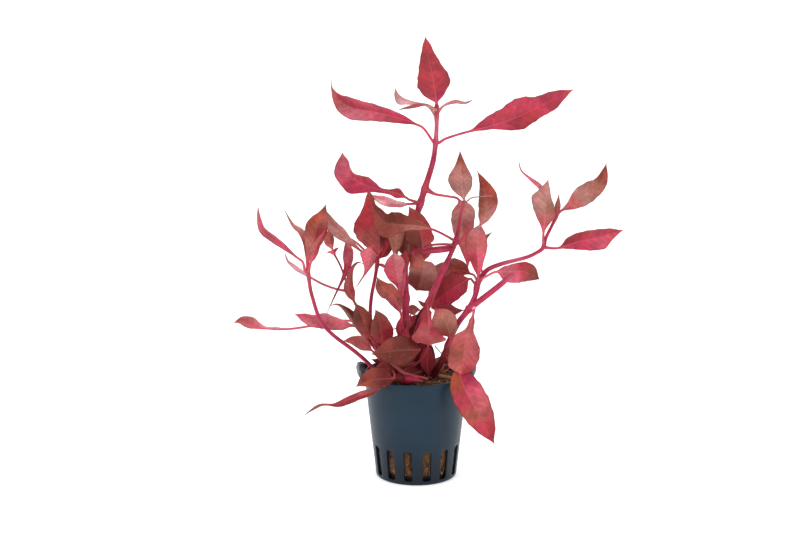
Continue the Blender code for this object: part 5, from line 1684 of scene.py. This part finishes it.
class ALTERNANTHERA_OT_wool(Operator):
    """Make the plug of mineral wool"""

    bl_idname = "alternanthera.wool"
    bl_label = "Mineral Wool"

    def execute(self, context):
        make_wool(context)
        return {"FINISHED"}


class ALTERNANTHERA_OT_roots(Operator):
    """Make the root threads on the wool and behind the slots"""

    bl_idname = "alternanthera.roots"
    bl_label = "Root Threads"

    def execute(self, context):
        make_roots(context)
        return {"FINISHED"}


class ALTERNANTHERA_OT_stems(Operator):
    """Make the six stems with their branches and swollen nodes"""

    bl_idname = "alternanthera.stems"
    bl_label = "Stems"

    def execute(self, context):
        make_stems(context)
        return {"FINISHED"}


class ALTERNANTHERA_OT_crown(Operator):
    """Make the leaves of the main stem's top"""

    bl_idname = "alternanthera.crown"
    bl_label = "Crown Leaves"

    def execute(self, context):
        make_leaves(context, CROWN_LEAVES)
        return {"FINISHED"}


class ALTERNANTHERA_OT_shoot(Operator):
    """Make the leaves of the shoot right of the main stem"""

    bl_idname = "alternanthera.shoot"
    bl_label = "Shoot Leaves"

    def execute(self, context):
        make_leaves(context, SHOOT_LEAVES)
        return {"FINISHED"}


class ALTERNANTHERA_OT_centre(Operator):
    """Make the leaves in the middle of the plant"""

    bl_idname = "alternanthera.centre"
    bl_label = "Centre Leaves"

    def execute(self, context):
        make_leaves(context, CENTRE_LEAVES)
        return {"FINISHED"}


class ALTERNANTHERA_OT_right(Operator):
    """Make the leaves of the right stem"""

    bl_idname = "alternanthera.right"
    bl_label = "Right Leaves"

    def execute(self, context):
        make_leaves(context, RIGHT_LEAVES)
        return {"FINISHED"}


class ALTERNANTHERA_OT_left(Operator):
    """Make the leaves of the left stems"""

    bl_idname = "alternanthera.left"
    bl_label = "Left Leaves"

    def execute(self, context):
        make_leaves(context, LEFT_LEAVES)
        return {"FINISHED"}


class ALTERNANTHERA_OT_rim(Operator):
    """Make the leaves that lie over the pot's rim"""

    bl_idname = "alternanthera.rim"
    bl_label = "Rim Leaves"

    def execute(self, context):
        make_leaves(context, RIM_LEAVES)
        return {"FINISHED"}


class ALTERNANTHERA_OT_young(Operator):
    """Make the leaflets, the bud and the thin loose stalks"""

    bl_idname = "alternanthera.young"
    bl_label = "Leaflets and Loose Stalks"

    def execute(self, context):
        make_young_growth(context)
        return {"FINISHED"}


class ALTERNANTHERA_OT_studio(Operator):
    """Make the pale sweep, the soft lights and the camera"""

    bl_idname = "alternanthera.studio"
    bl_label = "Studio"

    def execute(self, context):
        make_studio(context)
        return {"FINISHED"}


OPERATORS = [
    ALTERNANTHERA_OT_pot, ALTERNANTHERA_OT_wool, ALTERNANTHERA_OT_roots, ALTERNANTHERA_OT_stems,
    ALTERNANTHERA_OT_crown, ALTERNANTHERA_OT_shoot, ALTERNANTHERA_OT_centre,
    ALTERNANTHERA_OT_right, ALTERNANTHERA_OT_left, ALTERNANTHERA_OT_rim,
    ALTERNANTHERA_OT_young, ALTERNANTHERA_OT_studio,
]


class ALTERNANTHERA_PT_panel(Panel):
    """Lists the plant's pieces and settings in the sidebar"""

    bl_label = "Alternanthera"
    bl_idname = "ALTERNANTHERA_PT_panel"
    bl_space_type = "VIEW_3D"
    bl_region_type = "UI"
    bl_category = "Alternanthera"

    def draw(self, context):
        for operator in OPERATORS:
            self.layout.operator(operator.bl_idname)
        for entry in SIZES:
            self.layout.prop(context.scene.alternanthera_sizes, entry[0])
        for name in TONES:
            self.layout.prop(context.scene.alternanthera_colours, name)


CLASSES = [AlternantheraColours, AlternantheraSizes, *OPERATORS, ALTERNANTHERA_PT_panel]


def register():
    for entry in CLASSES:
        bpy.utils.register_class(entry)
    bpy.types.Scene.alternanthera_colours = PointerProperty(type=AlternantheraColours)
    bpy.types.Scene.alternanthera_sizes = PointerProperty(type=AlternantheraSizes)


def unregister():
    del bpy.types.Scene.alternanthera_sizes
    del bpy.types.Scene.alternanthera_colours
    for entry in reversed(CLASSES):
        bpy.utils.unregister_class(entry)


def main():
    """Registers the classes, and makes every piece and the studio."""
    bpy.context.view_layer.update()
    register()
    for operator in OPERATORS:
        group, name = operator.bl_idname.split(".")
        getattr(getattr(bpy.ops, group), name)()


if __name__ == "__main__":
    main()
